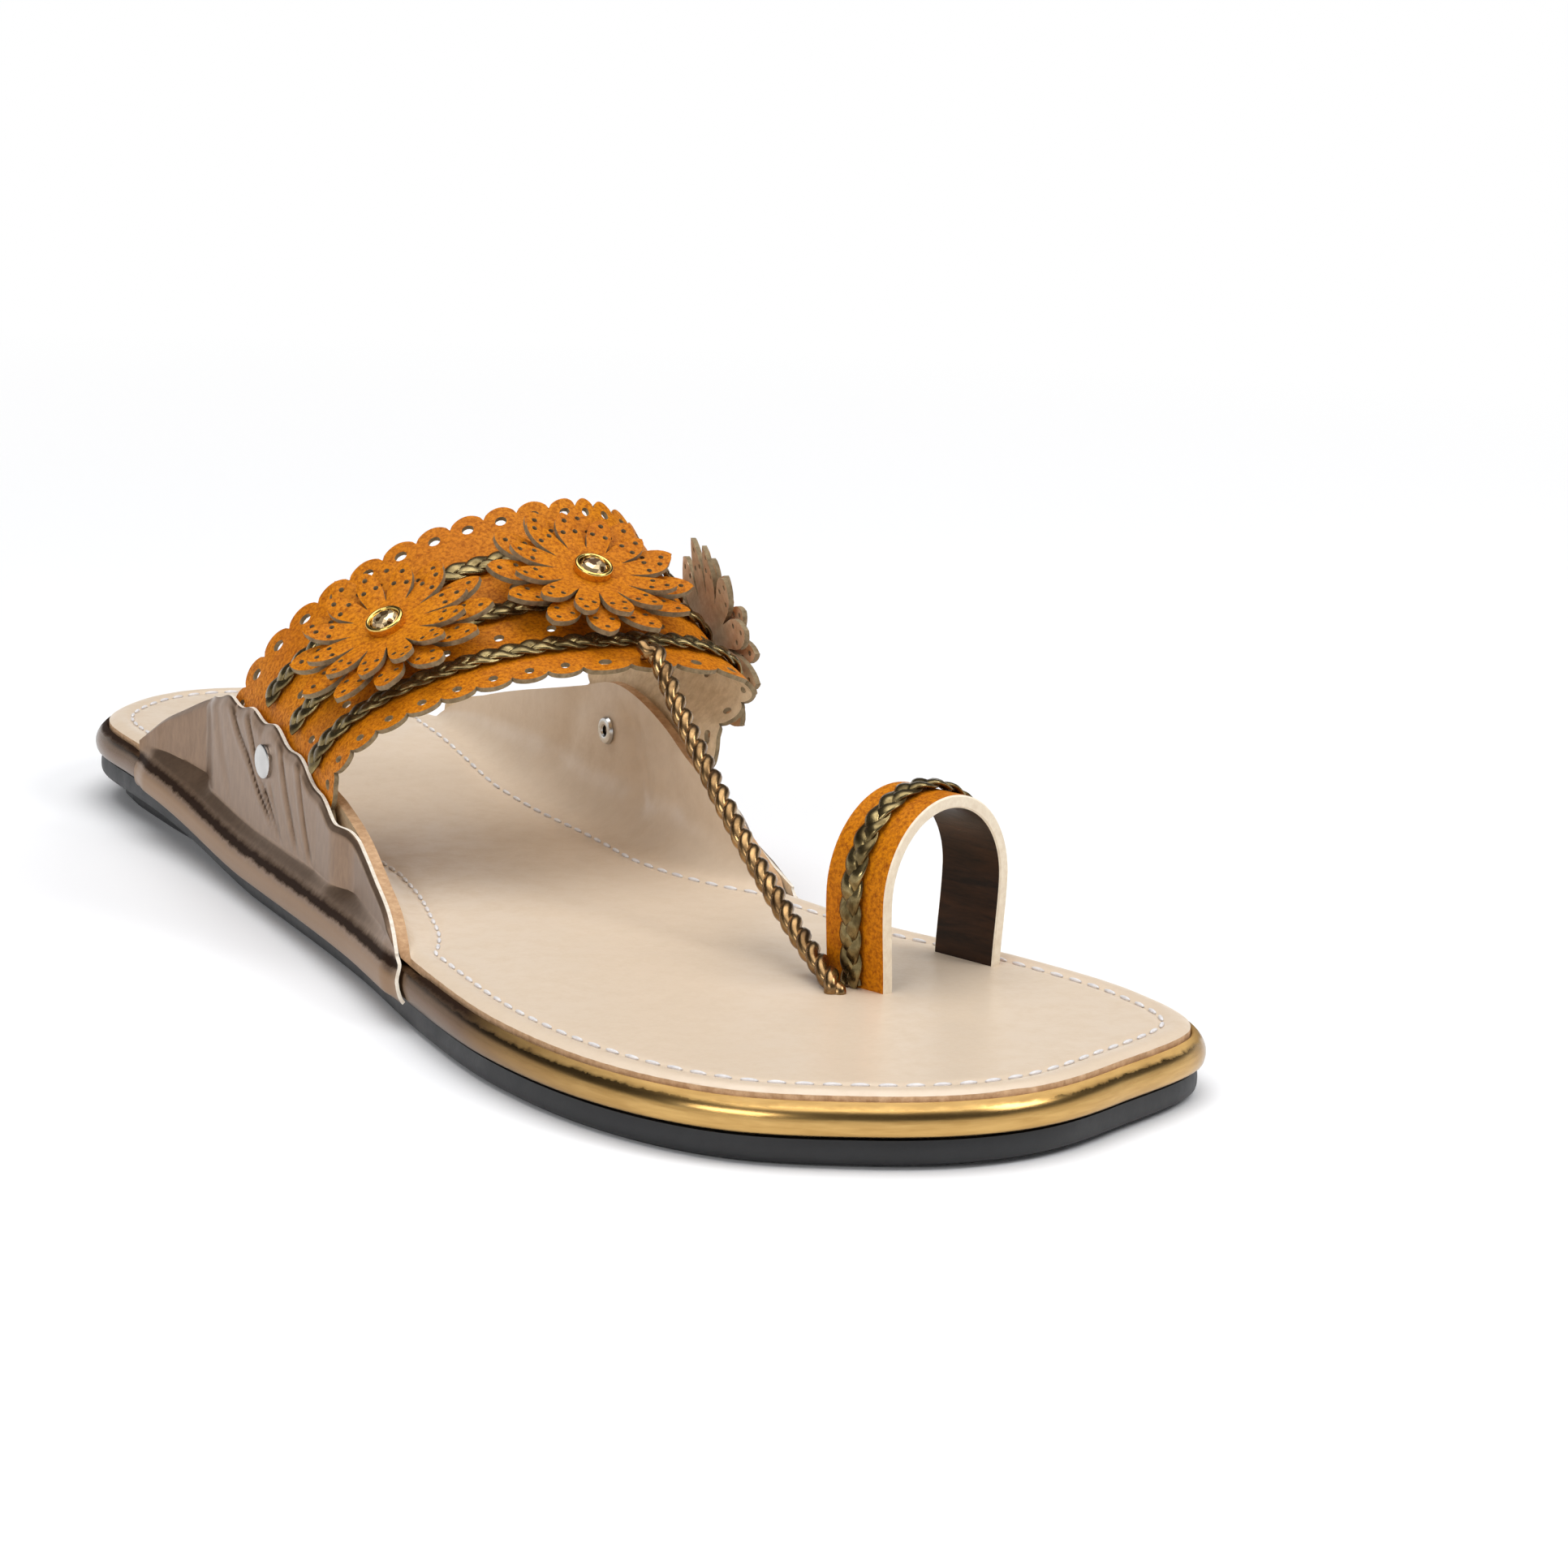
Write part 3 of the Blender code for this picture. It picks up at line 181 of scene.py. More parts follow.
# Toe loop and cord
LOOP_SPAN = 24.6 * MM
LOOP_HEIGHT = 26.0 * MM
LOOP_WIDTH = 10.8 * MM
LOOP_THICKNESS = 1.8 * MM
LOOP_CENTRE_ALONG = 196.6 * MM
LOOP_CENTRE_MEDIAL = 23.9 * MM
LOOP_YAW = math.radians(17.0)
LOOP_CROWN = 1.1
LOOP_QUARTER = 0.52 * math.pi * 1.05
LOOP_BULGE = 0.8 * MM
LOOP_RUN = 2.9 * LOOP_HEIGHT
CORD_DIAMETER = 3.0 * MM
CORD_FOOT_ALONG = 201.2 * MM
CORD_FOOT_MEDIAL = 8.0 * MM
CORD_SAG = 3.0 * MM
CORD_PITCH = 6.6 * MM
CORD_SWAY = 0.37
CORD_STRAND = 1.4

# Stitching of the insole
STITCH_INSET = 3.8 * MM
STITCH_LENGTH = 2.5 * MM
STITCH_PITCH = 3.5 * MM
STITCH_THICKNESS = 0.62 * MM
STITCH_GROOVE = 0.32 * MM
STITCH_GROOVE_WIDTH = 0.75 * MM
STITCH_SEAT = 0.32 * STITCH_THICKNESS
FOLD_TO_STITCH = 0.9 * MM

# Padded edge of the insole
EDGE_ROLL = 1.3 * MM
EDGE_DROP = 0.5 * MM
EDGE_SWELL = 0.16 * MM
EDGE_SWELL_WIDTH = 1.1 * MM

# Soft hollows of the ears, in millimetres from the rivet
EAR_DENTS = (
    # ahead, slope, depth, spread
    (5.0, 0.45, 1.1, 3.2),
    (-9.0, -0.35, 0.6, 3.6),
    (16.0, 0.6, 0.5, 4.5),
)
EAR_DENT_START = (1.0 * MM, 6.0 * MM)
EAR_DENT_END = (15.0 * MM, 20.0 * MM)

# Veins of the covers, in millimetres from the heel
COVER_VEINS = (
    # place at the upper edge, how far it leans ahead, depth, width
    (73.0, 9.0, 0.10, 1.6),
    (80.0, 27.0, 0.30, 1.0),
    (87.0, 20.0, 0.34, 0.9),
    (94.0, 12.0, 0.16, 0.9),
    (103.0, 10.0, 0.26, 0.9),
    (111.0, 8.0, 0.24, 0.9),
)
VEIN_FULL = 0.34 * MM
VEIN_PAST_RIVET = (0.75, 1.3)
# Colour of the painted shade in the veins' creases
VEIN_SHADE = (0.10, 0.06, 0.035)
SKIVED_PART = 0.05
SKIVED_SHARE = 0.45

# Nearly black line along the top of the rand and the covers' fold, a painted reflection of the dark
# surroundings, as heights over the insole's face
FOLD_BOTTOM = -1.35 * MM
FOLD_TOP = -0.1 * MM
FOLD_RAGGED = 1.2 * MM
# Colour of the painted reflection in the fold
PAINTED_FOLD_REFLECTION = (0.022, 0.010, 0.005)

# Where the rand's colour turns from dark bronze to bright gold, a painted reflection of the light on the
# toe: along the shoe, and across it towards the big toe
TOE_SHEEN_RUN = (-62.0 * MM, -105.0 * MM)
TOE_SHEEN_SIDE = (49.0 * MM, 36.0 * MM)
TOE_SHEEN_GOLDS = ((0.50, 0.30, 0.10), (0.62, 0.39, 0.14))

# Heights of the layers above the floor at the forefoot
RAND_BOTTOM = OUTSOLE_THICKNESS + GAP / 2
RAND_TOP = OUTSOLE_THICKNESS + RAND_THICKNESS - GAP / 2
INSOLE_TOP = OUTSOLE_THICKNESS + RAND_THICKNESS + INSOLE_THICKNESS

# Share of the band's run that each upright foot takes, and share of the insole's section in each ear
LEG_PART = 0.085
INSOLE_EAR_PART = 0.44

# Plan outline: share of the length from the heel, then each half width as a share of the ball width
OUTLINE = (
    # along, lateral, medial
    (0.00, 0.000, 0.000),
    (0.02, 0.168, 0.158),
    (0.07, 0.289, 0.286),
    (0.15, 0.318, 0.345),
    (0.28, 0.329, 0.367),
    (0.42, 0.361, 0.372),
    (0.56, 0.400, 0.352),
    (0.68, 0.452, 0.400),
    (0.78, 0.473, 0.512),
    (0.87, 0.433, 0.567),
    (0.94, 0.323, 0.518),
    (0.98, 0.150, 0.285),
    (1.00, -0.062, 0.062),
)

# Ear height along each ear: share of the ear's length, then shares of the ear height
EAR_PROFILE = (
    # along, lateral, medial
    (0.00, 0.000, 0.000),
    (0.05, 0.260, 0.125),
    (0.10, 0.445, 0.230),
    (0.18, 0.720, 0.385),
    (0.27, 0.930, 0.555),
    (0.36, 1.000, 0.715),
    (0.46, 0.990, 0.880),
    (0.55, 0.860, 1.000),
    (0.65, 0.690, 0.925),
    (0.75, 0.540, 0.745),
    (0.85, 0.335, 0.540),
    (0.93, 0.190, 0.280),
    (1.00, 0.000, 0.000),
)

# Sections of the rand and outsole: share of how far they stand proud, share of their thickness
RAND_SECTION = ((0.45, 0.0), (0.85, 0.12), (1.0, 0.38), (0.97, 0.62), (0.68, 0.86), (0.15, 1.0))
RAND_ROLL = ((0.45, 0.0), (0.85, 0.1), (1.0, 0.33), (1.0, 0.58), (0.84, 0.83),
             (0.55, 1.04), (0.28, 1.16), (0.09, 1.12), (0.06, 1.0))
OUTSOLE_SECTION = ((0.2, 0.0), (0.85, 0.22), (1.0, 0.62), (0.85, 1.0))

# How far the band's edges lie ahead of the lateral ones, as shares of its width
BAND_PLAN = (
    # place on the arch, rear edge, front edge
    (0.00, 0.000, 0.000),
    (0.30, 0.332, 0.187),
    (0.55, 0.423, 0.243),
    (0.80, 0.346, 0.209),
    (1.00, 0.164, 0.117),
)

# Arch of the band: place of its crown, and how square each shoulder is
CROWN_PLACE = 0.56
SHOULDER_POWER = {LATERAL: 2.0, MEDIAL: 3.0}

# Braids: name, place across the band from the rear edge
BRAIDS = (("braid_rear", 0.27), ("braid_middle", 0.54), ("braid_front", 0.81))

# Flowers: name, place along the arch, place across the band
FLOWERS = (("lateral", 0.272, 0.545), ("top", 0.590, 0.515), ("medial", 0.872, 0.46))

# Where the cord starts and where it crosses the band's edge: along the arch, across the band
CORD_START = (0.645, 0.945)
CORD_EDGE = (0.660, 1.0)

# Camera: place in the sandal's own frame, view direction, roll and how far the picture's middle is off
CAMERA_PLACE = (-285.4 * MM, -554.5 * MM, 163.6 * MM)
CAMERA_AZIMUTH = math.radians(30.56)
CAMERA_DIP = math.radians(12.6)
CAMERA_ROLL = math.radians(2.19)
CAMERA_LENS = 98.0
CAMERA_SENSOR = 36.0
CAMERA_SHIFT = (0.0083, -0.0005)

# Studio: pale ground, dim walls from the first height of a direction, bright ceiling from the second
GROUND_LIGHT = (0.9, 0.9, 0.9)
SKY_STEPS = (
    # height, half the blur, light above it
    (0.24, 0.06, (0.04, 0.04, 0.045)),
    (0.84, 0.08, (3.0, 3.0, 3.0)),
)
SOFTBOXES = (
    # name, place, aim, size, power
    ("front softbox", (0.55, -0.6, 0.75), (0.0, -0.05, 0.02), (0.35, 0.35), 3.0),
    ("left softbox", (-1.0, -0.6, 0.6), (0.0, 0.0, 0.02), (0.7, 0.25), 4.0),
)
FLOOR_REACH = 12.0
FLOOR_COLOUR = (0.93, 0.935, 0.95, 1.0)
FLOOR_FADE = (0.15, 0.75)
WHITE = (1.0, 1.0, 1.0, 1.0)


def smooth_table(table, column, at):
    """Read a column of a table at a place in its first column, along a smooth curve."""
    rows = [(row[0], row[column]) for row in table]
    at = min(max(at, rows[0][0]), rows[-1][0])
    index = 0
    while index < len(rows) - 2 and at > rows[index + 1][0]:
        index += 1

    def slope(i):
        low, high = max(i - 1, 0), min(i + 1, len(rows) - 1)
        return (rows[high][1] - rows[low][1]) / (rows[high][0] - rows[low][0])

    (start, a), (end, b) = rows[index], rows[index + 1]
    span = end - start
    t = (at - start) / span
    ma, mb = slope(index) * span, slope(index + 1) * span
    return ((2 * t**3 - 3 * t**2 + 1) * a + (t**3 - 2 * t**2 + t) * ma
            + (-2 * t**3 + 3 * t**2) * b + (t**3 - t**2) * mb)


def smoothstep(low, high, value):
    """Rise from 0 to 1 between two values with flat ends."""
    t = min(max((value - low) / (high - low), 0.0), 1.0)
    return t * t * (3 - 2 * t)


def angle_share(along):
    """Place on the outline as a share of half a turn, so that both ends come out round."""
    return math.acos(min(max(1 - 2 * along / INSOLE_LENGTH, -1.0), 1.0)) / math.pi


TURNED_OUTLINE = [(math.acos(1 - 2 * row[0]) / math.pi, row[1], row[2]) for row in OUTLINE]


def half_width(side, along):
    """Distance from the middle line to the insole's edge."""
    return BALL_WIDTH * smooth_table(TURNED_OUTLINE, COLUMN[side], angle_share(along))


def find_shift():
    """How far across the sandal's solids were moved to stand over the origin."""
    widest = max(half_width(LATERAL, INSOLE_LENGTH * k / 400) for k in range(401))
    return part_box("outsole")[0].x + widest + OUTSOLE_PROUD


SHIFT_ACROSS = find_shift()


def sole_lift(along):
    """Height that the heel and the toe spring add to a flat sole."""
    heel = HEEL_BLOCK_HEIGHT * (1 - smoothstep(HEEL_END, BALL_START, along))
    toe = max(along - SPRING_START, 0.0) / (INSOLE_LENGTH - SPRING_START)
    return heel + TOE_SPRING * toe * toe


def place(across, along, height):
    """Point from its distance towards the medial side, its distance from the heel and its height."""
    return Vector((across + SHIFT_ACROSS, INSOLE_LENGTH / 2 - along, height))


def on_insole(across, along, height):
    """Point at a height over the insole's top face."""
    return place(across, along, height + INSOLE_TOP + sole_lift(along))


def outline_ring(count, offset):
    """Points round the outline, heel to toe on the lateral side and back, pushed out by an offset."""
    alongs = [INSOLE_LENGTH * (1 - math.cos(math.pi * index / count)) / 2 for index in range(count + 1)]
    plan = [(-half_width(LATERAL, along), along) for along in alongs]
    plan += [(half_width(MEDIAL, along), along) for along in alongs[-2:0:-1]]
    ring = []
    for index, (x, y) in enumerate(plan):
        before, after = plan[index - 1], plan[(index + 1) % len(plan)]
        dx, dy = after[0] - before[0], after[1] - before[1]
        size = math.hypot(dx, dy)
        ring.append((x - offset * dy / size, y + offset * dx / size))
    return ring


def shares(count):
    """Evenly spaced values from 0 to 1."""
    return [index / count for index in range(count + 1)]


def run_lengths(points):
    """Length run along a line of points, up to each of them."""
    runs = [0.0]
    for before, after in zip(points, points[1:]):
        runs.append(runs[-1] + (after - before).length)
    return runs


def spread_points(path, count):
    """Points at an even pitch along a line of points, both its ends among them."""
    runs = run_lengths(path)
    placed, index = [], 0
    for step in range(count + 1):
        target = runs[-1] * step / count
        while index < len(path) - 2 and runs[index + 1] < target:
            index += 1
        share = (target - runs[index]) / max(runs[index + 1] - runs[index], 1e-9)
        placed.append(path[index].lerp(path[index + 1], min(share, 1.0)))
    return placed


def ear_height(side, along):
    """Height of an ear's edge over the insole."""
    share = (along - EAR_REAR[side]) / (EAR_FRONT[side] - EAR_REAR[side])
    if share <= 0 or share >= 1:
        return 0.0
    return EAR_HEIGHT[side] * max(smooth_table(EAR_PROFILE, COLUMN[side], share), 0.0)


def ear_fullness(side, along):
    """1 where the ear is fully formed, falling to 0 at its ends."""
    return min(ear_height(side, along) / EAR_HEIGHT[side] / EAR_FULL_SHARE, 1.0) ** EAR_FULL_POWER


def ear_outside(side, along):
    """Outward offset of an ear's outer face from the insole's edge."""
    return EAR_THICKNESS - EAR_INSET[side] * ear_fullness(side, along)


def ear_path(side, along, share):
    """Point on the insole's upper face from the flat (0) up the ear to its edge (1)."""
    edge = half_width(side, along)
    full, height = ear_fullness(side, along), ear_height(side, along)
    fillet, inset = EAR_FILLET * full, EAR_INSET[side] * full
    start = min(EAR_FILLET + EAR_INSET[side], 0.5 * abs(edge))
    flat = max(start - fillet - inset, 0.0)
    turn = math.acos(max(1 - height / fillet, 0.0)) if fillet > 1e-7 else 0.0
    arc, wall = fillet * turn, max(height - fillet, 0.0)
    run = share * (flat + arc + wall)
    inward = start - min(run, flat)
    rise = 0.0
    if run > flat:
        swept_turn = min(run - flat, arc) / fillet if fillet > 1e-7 else 0.0
        inward = fillet + inset - fillet * math.sin(swept_turn)
        rise = fillet * (1 - math.cos(swept_turn)) + max(run - flat - arc, 0.0)
    return on_insole(side * (edge - inward), along, rise)


def insole_surface(a, b):
    """Upper face of the insole: a from heel to toe, b from the lateral edge to the medial one."""
    blunt_tip = 0.014
    turn = math.pi * (blunt_tip + (1 - 2 * blunt_tip) * a)
    along = INSOLE_LENGTH * (1 - math.cos(turn)) / 2
    if b < INSOLE_EAR_PART:
        return ear_path(LATERAL, along, 1 - b / INSOLE_EAR_PART)
    if 1 - b < INSOLE_EAR_PART:
        return ear_path(MEDIAL, along, 1 - (1 - b) / INSOLE_EAR_PART)
    return middle_point(along, b)


def middle_point(along, b):
    """Point on the flat middle of the insole between the two ears' roots."""
    left, right = ear_path(LATERAL, along, 0.0), ear_path(MEDIAL, along, 0.0)
    return left.lerp(right, (b - INSOLE_EAR_PART) / (1 - 2 * INSOLE_EAR_PART))


def band_share(side, along):
    """1 where the band's foot lies between ear and cover, 0 away from it."""
    width = BAND_FRONT - BAND_REAR
    foot = BAND_PLAN[0] if side == LATERAL else BAND_PLAN[-1]
    rear, front = BAND_REAR + foot[1] * width, BAND_FRONT + foot[2] * width
    opens = smoothstep(rear - COVER_CLOSING, rear - COVER_CLOSING / 4, along)
    return opens * (1 - smoothstep(front + COVER_CLOSING / 4, front + COVER_CLOSING, along))


def cover_seat(side, along):
    """Outward offset of the cover's inner face from the insole's edge, above the rand."""
    return ear_outside(side, along) + GAP + (BAND_THICKNESS + GAP) * band_share(side, along)


def cover_height(side, along):
    """Height of the cover's upper edge over the insole, with its wavy part."""
    start, end = COVER_WAVE_START, COVER_WAVE_END
    wave_zone = smoothstep(BAND_REAR + start[0], BAND_REAR + start[1], along)
    wave_zone *= 1 - smoothstep(EAR_FRONT[side] + end[0], EAR_FRONT[side] + end[1], along)
    wave = COVER_WAVE * math.cos(math.tau * along / COVER_WAVE_PITCH) * wave_zone
    ahead = smoothstep(BAND_FRONT - COVER_CLOSING, BAND_FRONT, along)
    rise = COVER_RISE_REAR + (COVER_RISE_FRONT - COVER_RISE_REAR) * ahead
    return COVER_SHARE[side] * ear_height(side, along) + rise + wave


def cover_offset(side, along, height):
    """Outward offset of the cover's inner face at a height over the insole."""
    widest_level, upper_slack, slack_levels = RAND_SECTION[2][1], 0.45, (0.6, 1.2)
    upright_from = 1.6 * MM
    level = (height + INSOLE_THICKNESS + RAND_THICKNESS) / RAND_THICKNESS
    bead = RAND_PROUD * smooth_table([(row[1], row[0]) for row in RAND_SECTION], 1, level) + GAP
    bead = max(bead, COVER_TUCK)
    if level > widest_level:
        bead = max(bead, RAND_PROUD * (1 - upper_slack * smoothstep(*slack_levels, level)) + GAP)
    blend = smoothstep(-INSOLE_THICKNESS, upright_from, height)
    return bead * (1 - blend) + cover_seat(side, along) * blend


def cover_surface(side):
    """Inner face of an ear cover: a from rear to front, b from the rubber up to the edge."""
    below = INSOLE_THICKNESS + RAND_THICKNESS - 0.4 * MM
    low_part = 0.5

    def surface(a, b):
        rake = COVER_RAKE * (1 - min(b / low_part, 1.0))
        along = EAR_REAR[side] + a * (EAR_FRONT[side] + rake - EAR_REAR[side])
        top = cover_height(side, along)
        if b < low_part:
            height = -below * (1 - b / low_part)
        else:
            height = top * (b - low_part) / (1 - low_part)
        offset = cover_offset(side, along, height)
        return on_insole(side * (half_width(side, along) + offset), along, height)

    return surface


def rivet_place(side):
    """Point on the ear's inner face where the rivet goes through."""
    inner = half_width(side, RIVET_ALONG) - EAR_INSET[side]
    return on_insole(side * inner, RIVET_ALONG, RIVET_HEIGHT[side])


def arch_share(a):
    """Place on the arch alone, from a place on the band with its two feet."""
    return min(max((a - LEG_PART) / (1 - 2 * LEG_PART), 0.0), 1.0)


def band_place(arch):
    """Place on the band with its feet, from a place on the arch alone."""
    return LEG_PART + arch * (1 - 2 * LEG_PART)


def band_along(arch, across):
    """Distance from the heel of a place on the arch, across from its rear to its front edge."""
    width = BAND_FRONT - BAND_REAR
    rear = BAND_REAR + width * smooth_table(BAND_PLAN, 1, arch)
    front = BAND_FRONT + width * smooth_table(BAND_PLAN, 2, arch)
    return rear + across * (front - rear)


def band_seat(side, along):
    """Distance from the middle line to the middle of the band, between ear and cover."""
    return half_width(side, along) + ear_outside(side, along) + GAP + BAND_THICKNESS / 2


def arch_point(arch, across):
    """Middle of the arch's wall: arch from the lateral shoulder over the crown to the medial one."""
    along = band_along(arch, across)
    crown = BAND_CROWN_REAR + (BAND_CROWN_FRONT - BAND_CROWN_REAR) * across
    crown -= BAND_CROWN_SAG * 4 * across * (1 - across)
    shift = BAND_CROWN_SHIFT_REAR + (BAND_CROWN_SHIFT_FRONT - BAND_CROWN_SHIFT_REAR) * across
    side = LATERAL if arch < CROWN_PLACE else MEDIAL
    span = CROWN_PLACE if side == LATERAL else 1 - CROWN_PLACE
    quarter = math.pi / 2 * min(abs(arch - CROWN_PLACE) / span, 1.0)
    power = 2 / SHOULDER_POWER[side]
    reach = side * band_seat(side, along) - shift
    shoulder = BAND_SHOULDER[side]
    height = shoulder + (crown - shoulder) * max(math.cos(quarter), 0.0) ** power
    x = shift + reach * math.sin(quarter) ** power
    if side == MEDIAL:
        above = 1 - quarter / (math.pi / 2)
        x += BAND_BULGE_MEDIAL * BULGE_PEAK * above * (1 - above) ** 2
    return on_insole(x, along, height)


def measure_arch(steps=240):
    """Share of the arch's length run at evenly spaced places, along its middle."""
    runs = run_lengths([arch_point(share, 0.5) for share in shares(steps)])
    return [run / runs[-1] for run in runs]


ARCH_RUNS = measure_arch()


def arch_at(share):
    """Place on the arch at a share of its length."""
    low, high = 0, len(ARCH_RUNS) - 1
    while high - low > 1:
        middle = (low + high) // 2
        if ARCH_RUNS[middle] <= share:
            low = middle
        else:
            high = middle
    step = (share - ARCH_RUNS[low]) / (ARCH_RUNS[high] - ARCH_RUNS[low])
    return (low + min(max(step, 0.0), 1.0)) / (len(ARCH_RUNS) - 1)


def band_surface(a, across):
    """Middle of the band's wall: a from the lateral foot over the crown to the medial foot."""
    arch = arch_at(arch_share(a))
    if LEG_PART <= a <= 1 - LEG_PART:
        return arch_point(arch, across)
    side = LATERAL if a < 0.5 else MEDIAL
    along = band_along(arch, across)
    height = BAND_FOOT + (BAND_SHOULDER[side] - BAND_FOOT) * min(a, 1 - a) / LEG_PART
    return on_insole(side * band_seat(side, along), along, height)


def edge_reach(a, count):
    """How far a scalloped edge stands out at a place on the arch, from 0 to 1."""
    return abs(math.sin(math.pi * count * a)) ** 0.6


def band_frame(a, across, offset):
    """Point over the band's outer face, with the axis along the arch and the outward normal."""
    step = 1e-4
    along_arch = (band_surface(a + step, across) - band_surface(a - step, across)).normalized()
    along_sole = band_surface(a, across + step) - band_surface(a, across - step)
    normal = along_sole.cross(along_arch).normalized()
    point = band_surface(a, across) + normal * (BAND_THICKNESS / 2 + offset)
    return point, along_arch, normal


def braid_range(across):
    """Part of the arch where a braid shows over both covers."""
    clearance, step, spare = 0.8 * MM, 0.002, 0.012
    found = []
    for side in (LATERAL, MEDIAL):
        a = 0.0 if side == LATERAL else 1.0
        while True:
            along = band_along(arch_at(arch_share(a)), across)
            top = INSOLE_TOP + sole_lift(along) + cover_height(side, along) + clearance
            if band_surface(a, across).z > top:
                break
            a -= side * step
        found.append(a - side * spare)
    return found


def arch_scale(a, across):
    """Metres of band per unit of the arch place and per unit across."""
    step = 1e-3
    along_arch = (band_surface(a + step, across) - band_surface(a - step, across)).length / (2 * step)
    along_sole = (band_surface(a, across + step) - band_surface(a, across - step)).length / (2 * step)
    return along_arch, along_sole


def flower_frame(a, across):
    """Centre of a flower on the band, its three axes and how the band bends along two of them."""
    centre, arch_axis, normal = band_frame(a, across, 0.0)
    sole_axis = normal.cross(arch_axis).normalized()
    arch, sole = arch_scale(a, across)
    probe = 0.6 * FLOWER_RADIUS_LOWER

    def bend(da, db):
        fall = [centre - band_frame(a + sign * da, across + sign * db, 0.0)[0] for sign in (-1, 1)]
        return min(step.dot(normal) for step in fall) / probe**2

    bends = (FLOWER_FOLLOW * bend(probe / arch, 0.0), bend(0.0, probe / sole))
    return centre, (arch_axis, sole_axis, normal), bends


def on_flower(frame, radius, turn, offset, reach):
    """Point over the band at a polar place round a flower's centre, its rim curled up."""
    centre, (arch_axis, sole_axis, normal), bends = frame
    x, y = radius * math.cos(turn), radius * math.sin(turn)
    height = offset + FLOWER_CURL * (radius / reach) ** 2 - bends[0] * x * x - bends[1] * y * y
    return centre + arch_axis * x + sole_axis * y + normal * height


def loop_axes():
    """Unit axes of the toe loop: across the toe and along the toe."""
    across = Vector((math.cos(LOOP_YAW), math.sin(LOOP_YAW), 0.0))
    ahead = Vector((math.sin(LOOP_YAW), -math.cos(LOOP_YAW), 0.0))
    return across, ahead


def loop_middle(share):
    """Middle of the loop's wall in its own plane: distance across and height over the insole."""
    foot = -INSOLE_THICKNESS + GAP
    half = (LOOP_SPAN - LOOP_THICKNESS) / 2
    crown = LOOP_CROWN * half
    shoulder = LOOP_HEIGHT - LOOP_THICKNESS / 2 - crown
    leg = shoulder - foot
    arc = LOOP_QUARTER * half
    run = share * 2 * (leg + arc)
    if run < leg or run > leg + 2 * arc:
        side = LATERAL if run < leg else MEDIAL
        height = foot + (run if side == LATERAL else 2 * (leg + arc) - run)
        swell = LOOP_BULGE * smoothstep(0.0, 1.0, (height - foot) / leg)
        return side * (half + swell), height
    turn = math.pi * ((run - leg) / (2 * arc))
    return -(half + LOOP_BULGE) * math.cos(turn), shoulder + crown * math.sin(turn)


def loop_point(share, along_toe, offset):
    """Point on the toe loop: share of its run, place along the toe and offset outward."""
    step = 1e-4
    x, z = loop_middle(share)
    x0, z0 = loop_middle(max(share - step, 0.0))
    x1, z1 = loop_middle(min(share + step, 1.0))
    size = math.hypot(x1 - x0, z1 - z0)
    nx, nz = -(z1 - z0) / size, (x1 - x0) / size
    across, ahead = loop_axes()
    centre = on_insole(LOOP_CENTRE_MEDIAL, LOOP_CENTRE_ALONG, z + nz * offset)
    return centre + across * (x + nx * offset) + ahead * along_toe


def cord_route():
    """Middle line of the cord: from beside the front braid, over the band's edge, down to its hole."""
    over = CORD_DIAMETER / 2 + GAP
    start, _, _ = band_frame(band_place(CORD_START[0]), CORD_START[1], over)
    edge, _, normal = band_frame(band_place(CORD_EDGE[0]), CORD_EDGE[1], over)
    foot = on_insole(CORD_FOOT_MEDIAL, CORD_FOOT_ALONG, -INSOLE_THICKNESS + GAP)
    top_of_hole = on_insole(CORD_FOOT_MEDIAL, CORD_FOOT_ALONG, 1.0 * MM)
    points = [start, start.lerp(edge, 0.55) + normal * 0.1 * MM, edge + normal * 0.2 * MM]
    for share in (0.15, 0.32, 0.5, 0.68, 0.84):
        sag = Vector((0, 0, -4 * share * (1 - share) * CORD_SAG))
        points.append(edge.lerp(top_of_hole, share) + sag)
    return points + [top_of_hole, foot]


def curve_through(points, count):
    """Evenly placed points on a smooth curve through the given ones."""
    def at(t):
        index = min(int(t), len(points) - 2)
        f = t - index
        p1, p2 = points[index], points[index + 1]
        p0 = points[index - 1] if index else p1 * 2 - p2
        p3 = points[index + 2] if index + 2 < len(points) else p2 * 2 - p1
        return 0.5 * (2 * p1 + (p2 - p0) * f + (2 * p0 - 5 * p1 + 4 * p2 - p3) * f * f
                      + (3 * p1 - p0 - 3 * p2 + p3) * f * f * f)

    return spread_points([at(index * (len(points) - 1) / 400) for index in range(401)], count)


# Mesh helpers

def finish_piece(item, slot_name, *nodes):
    """Put a finished piece on the sandal's one body, in place of its plain solids."""
    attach(item, "root")
    if nodes:
        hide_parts(*nodes)
    return item


def add_object(name, data):
    """New object in the scene."""
    item = bpy.data.objects.new(name, data)
    bpy.context.collection.objects.link(item)
    return item


def make_piece(name, verts, faces, zones, materials, angle=40.0):
    """Closed object from points and faces; zones gives the material number of each face."""
    mesh = bpy.data.meshes.new(name)
    mesh.from_pydata([tuple(v) for v in verts], [], faces)
    mesh.polygons.foreach_set("material_index", zones)
    work = bmesh.new()
    work.from_mesh(mesh)
    bmesh.ops.recalc_face_normals(work, faces=work.faces)
    if work.calc_volume(signed=True) < 0:
        bmesh.ops.reverse_faces(work, faces=work.faces)
    work.to_mesh(mesh)
    work.free()
    for material in materials:
        mesh.materials.append(material)
    mesh.shade_smooth()
    mesh.set_sharp_from_angle(angle=math.radians(angle))
    return add_object(name, mesh)


def mark(item, name, value_at):
    """Store a number on every point of a piece, for its material to read."""
    layer = item.data.attributes.new(name, "FLOAT", "POINT")
    layer.data.foreach_set("value", [float(value_at(vertex.co)) for vertex in item.data.vertices])


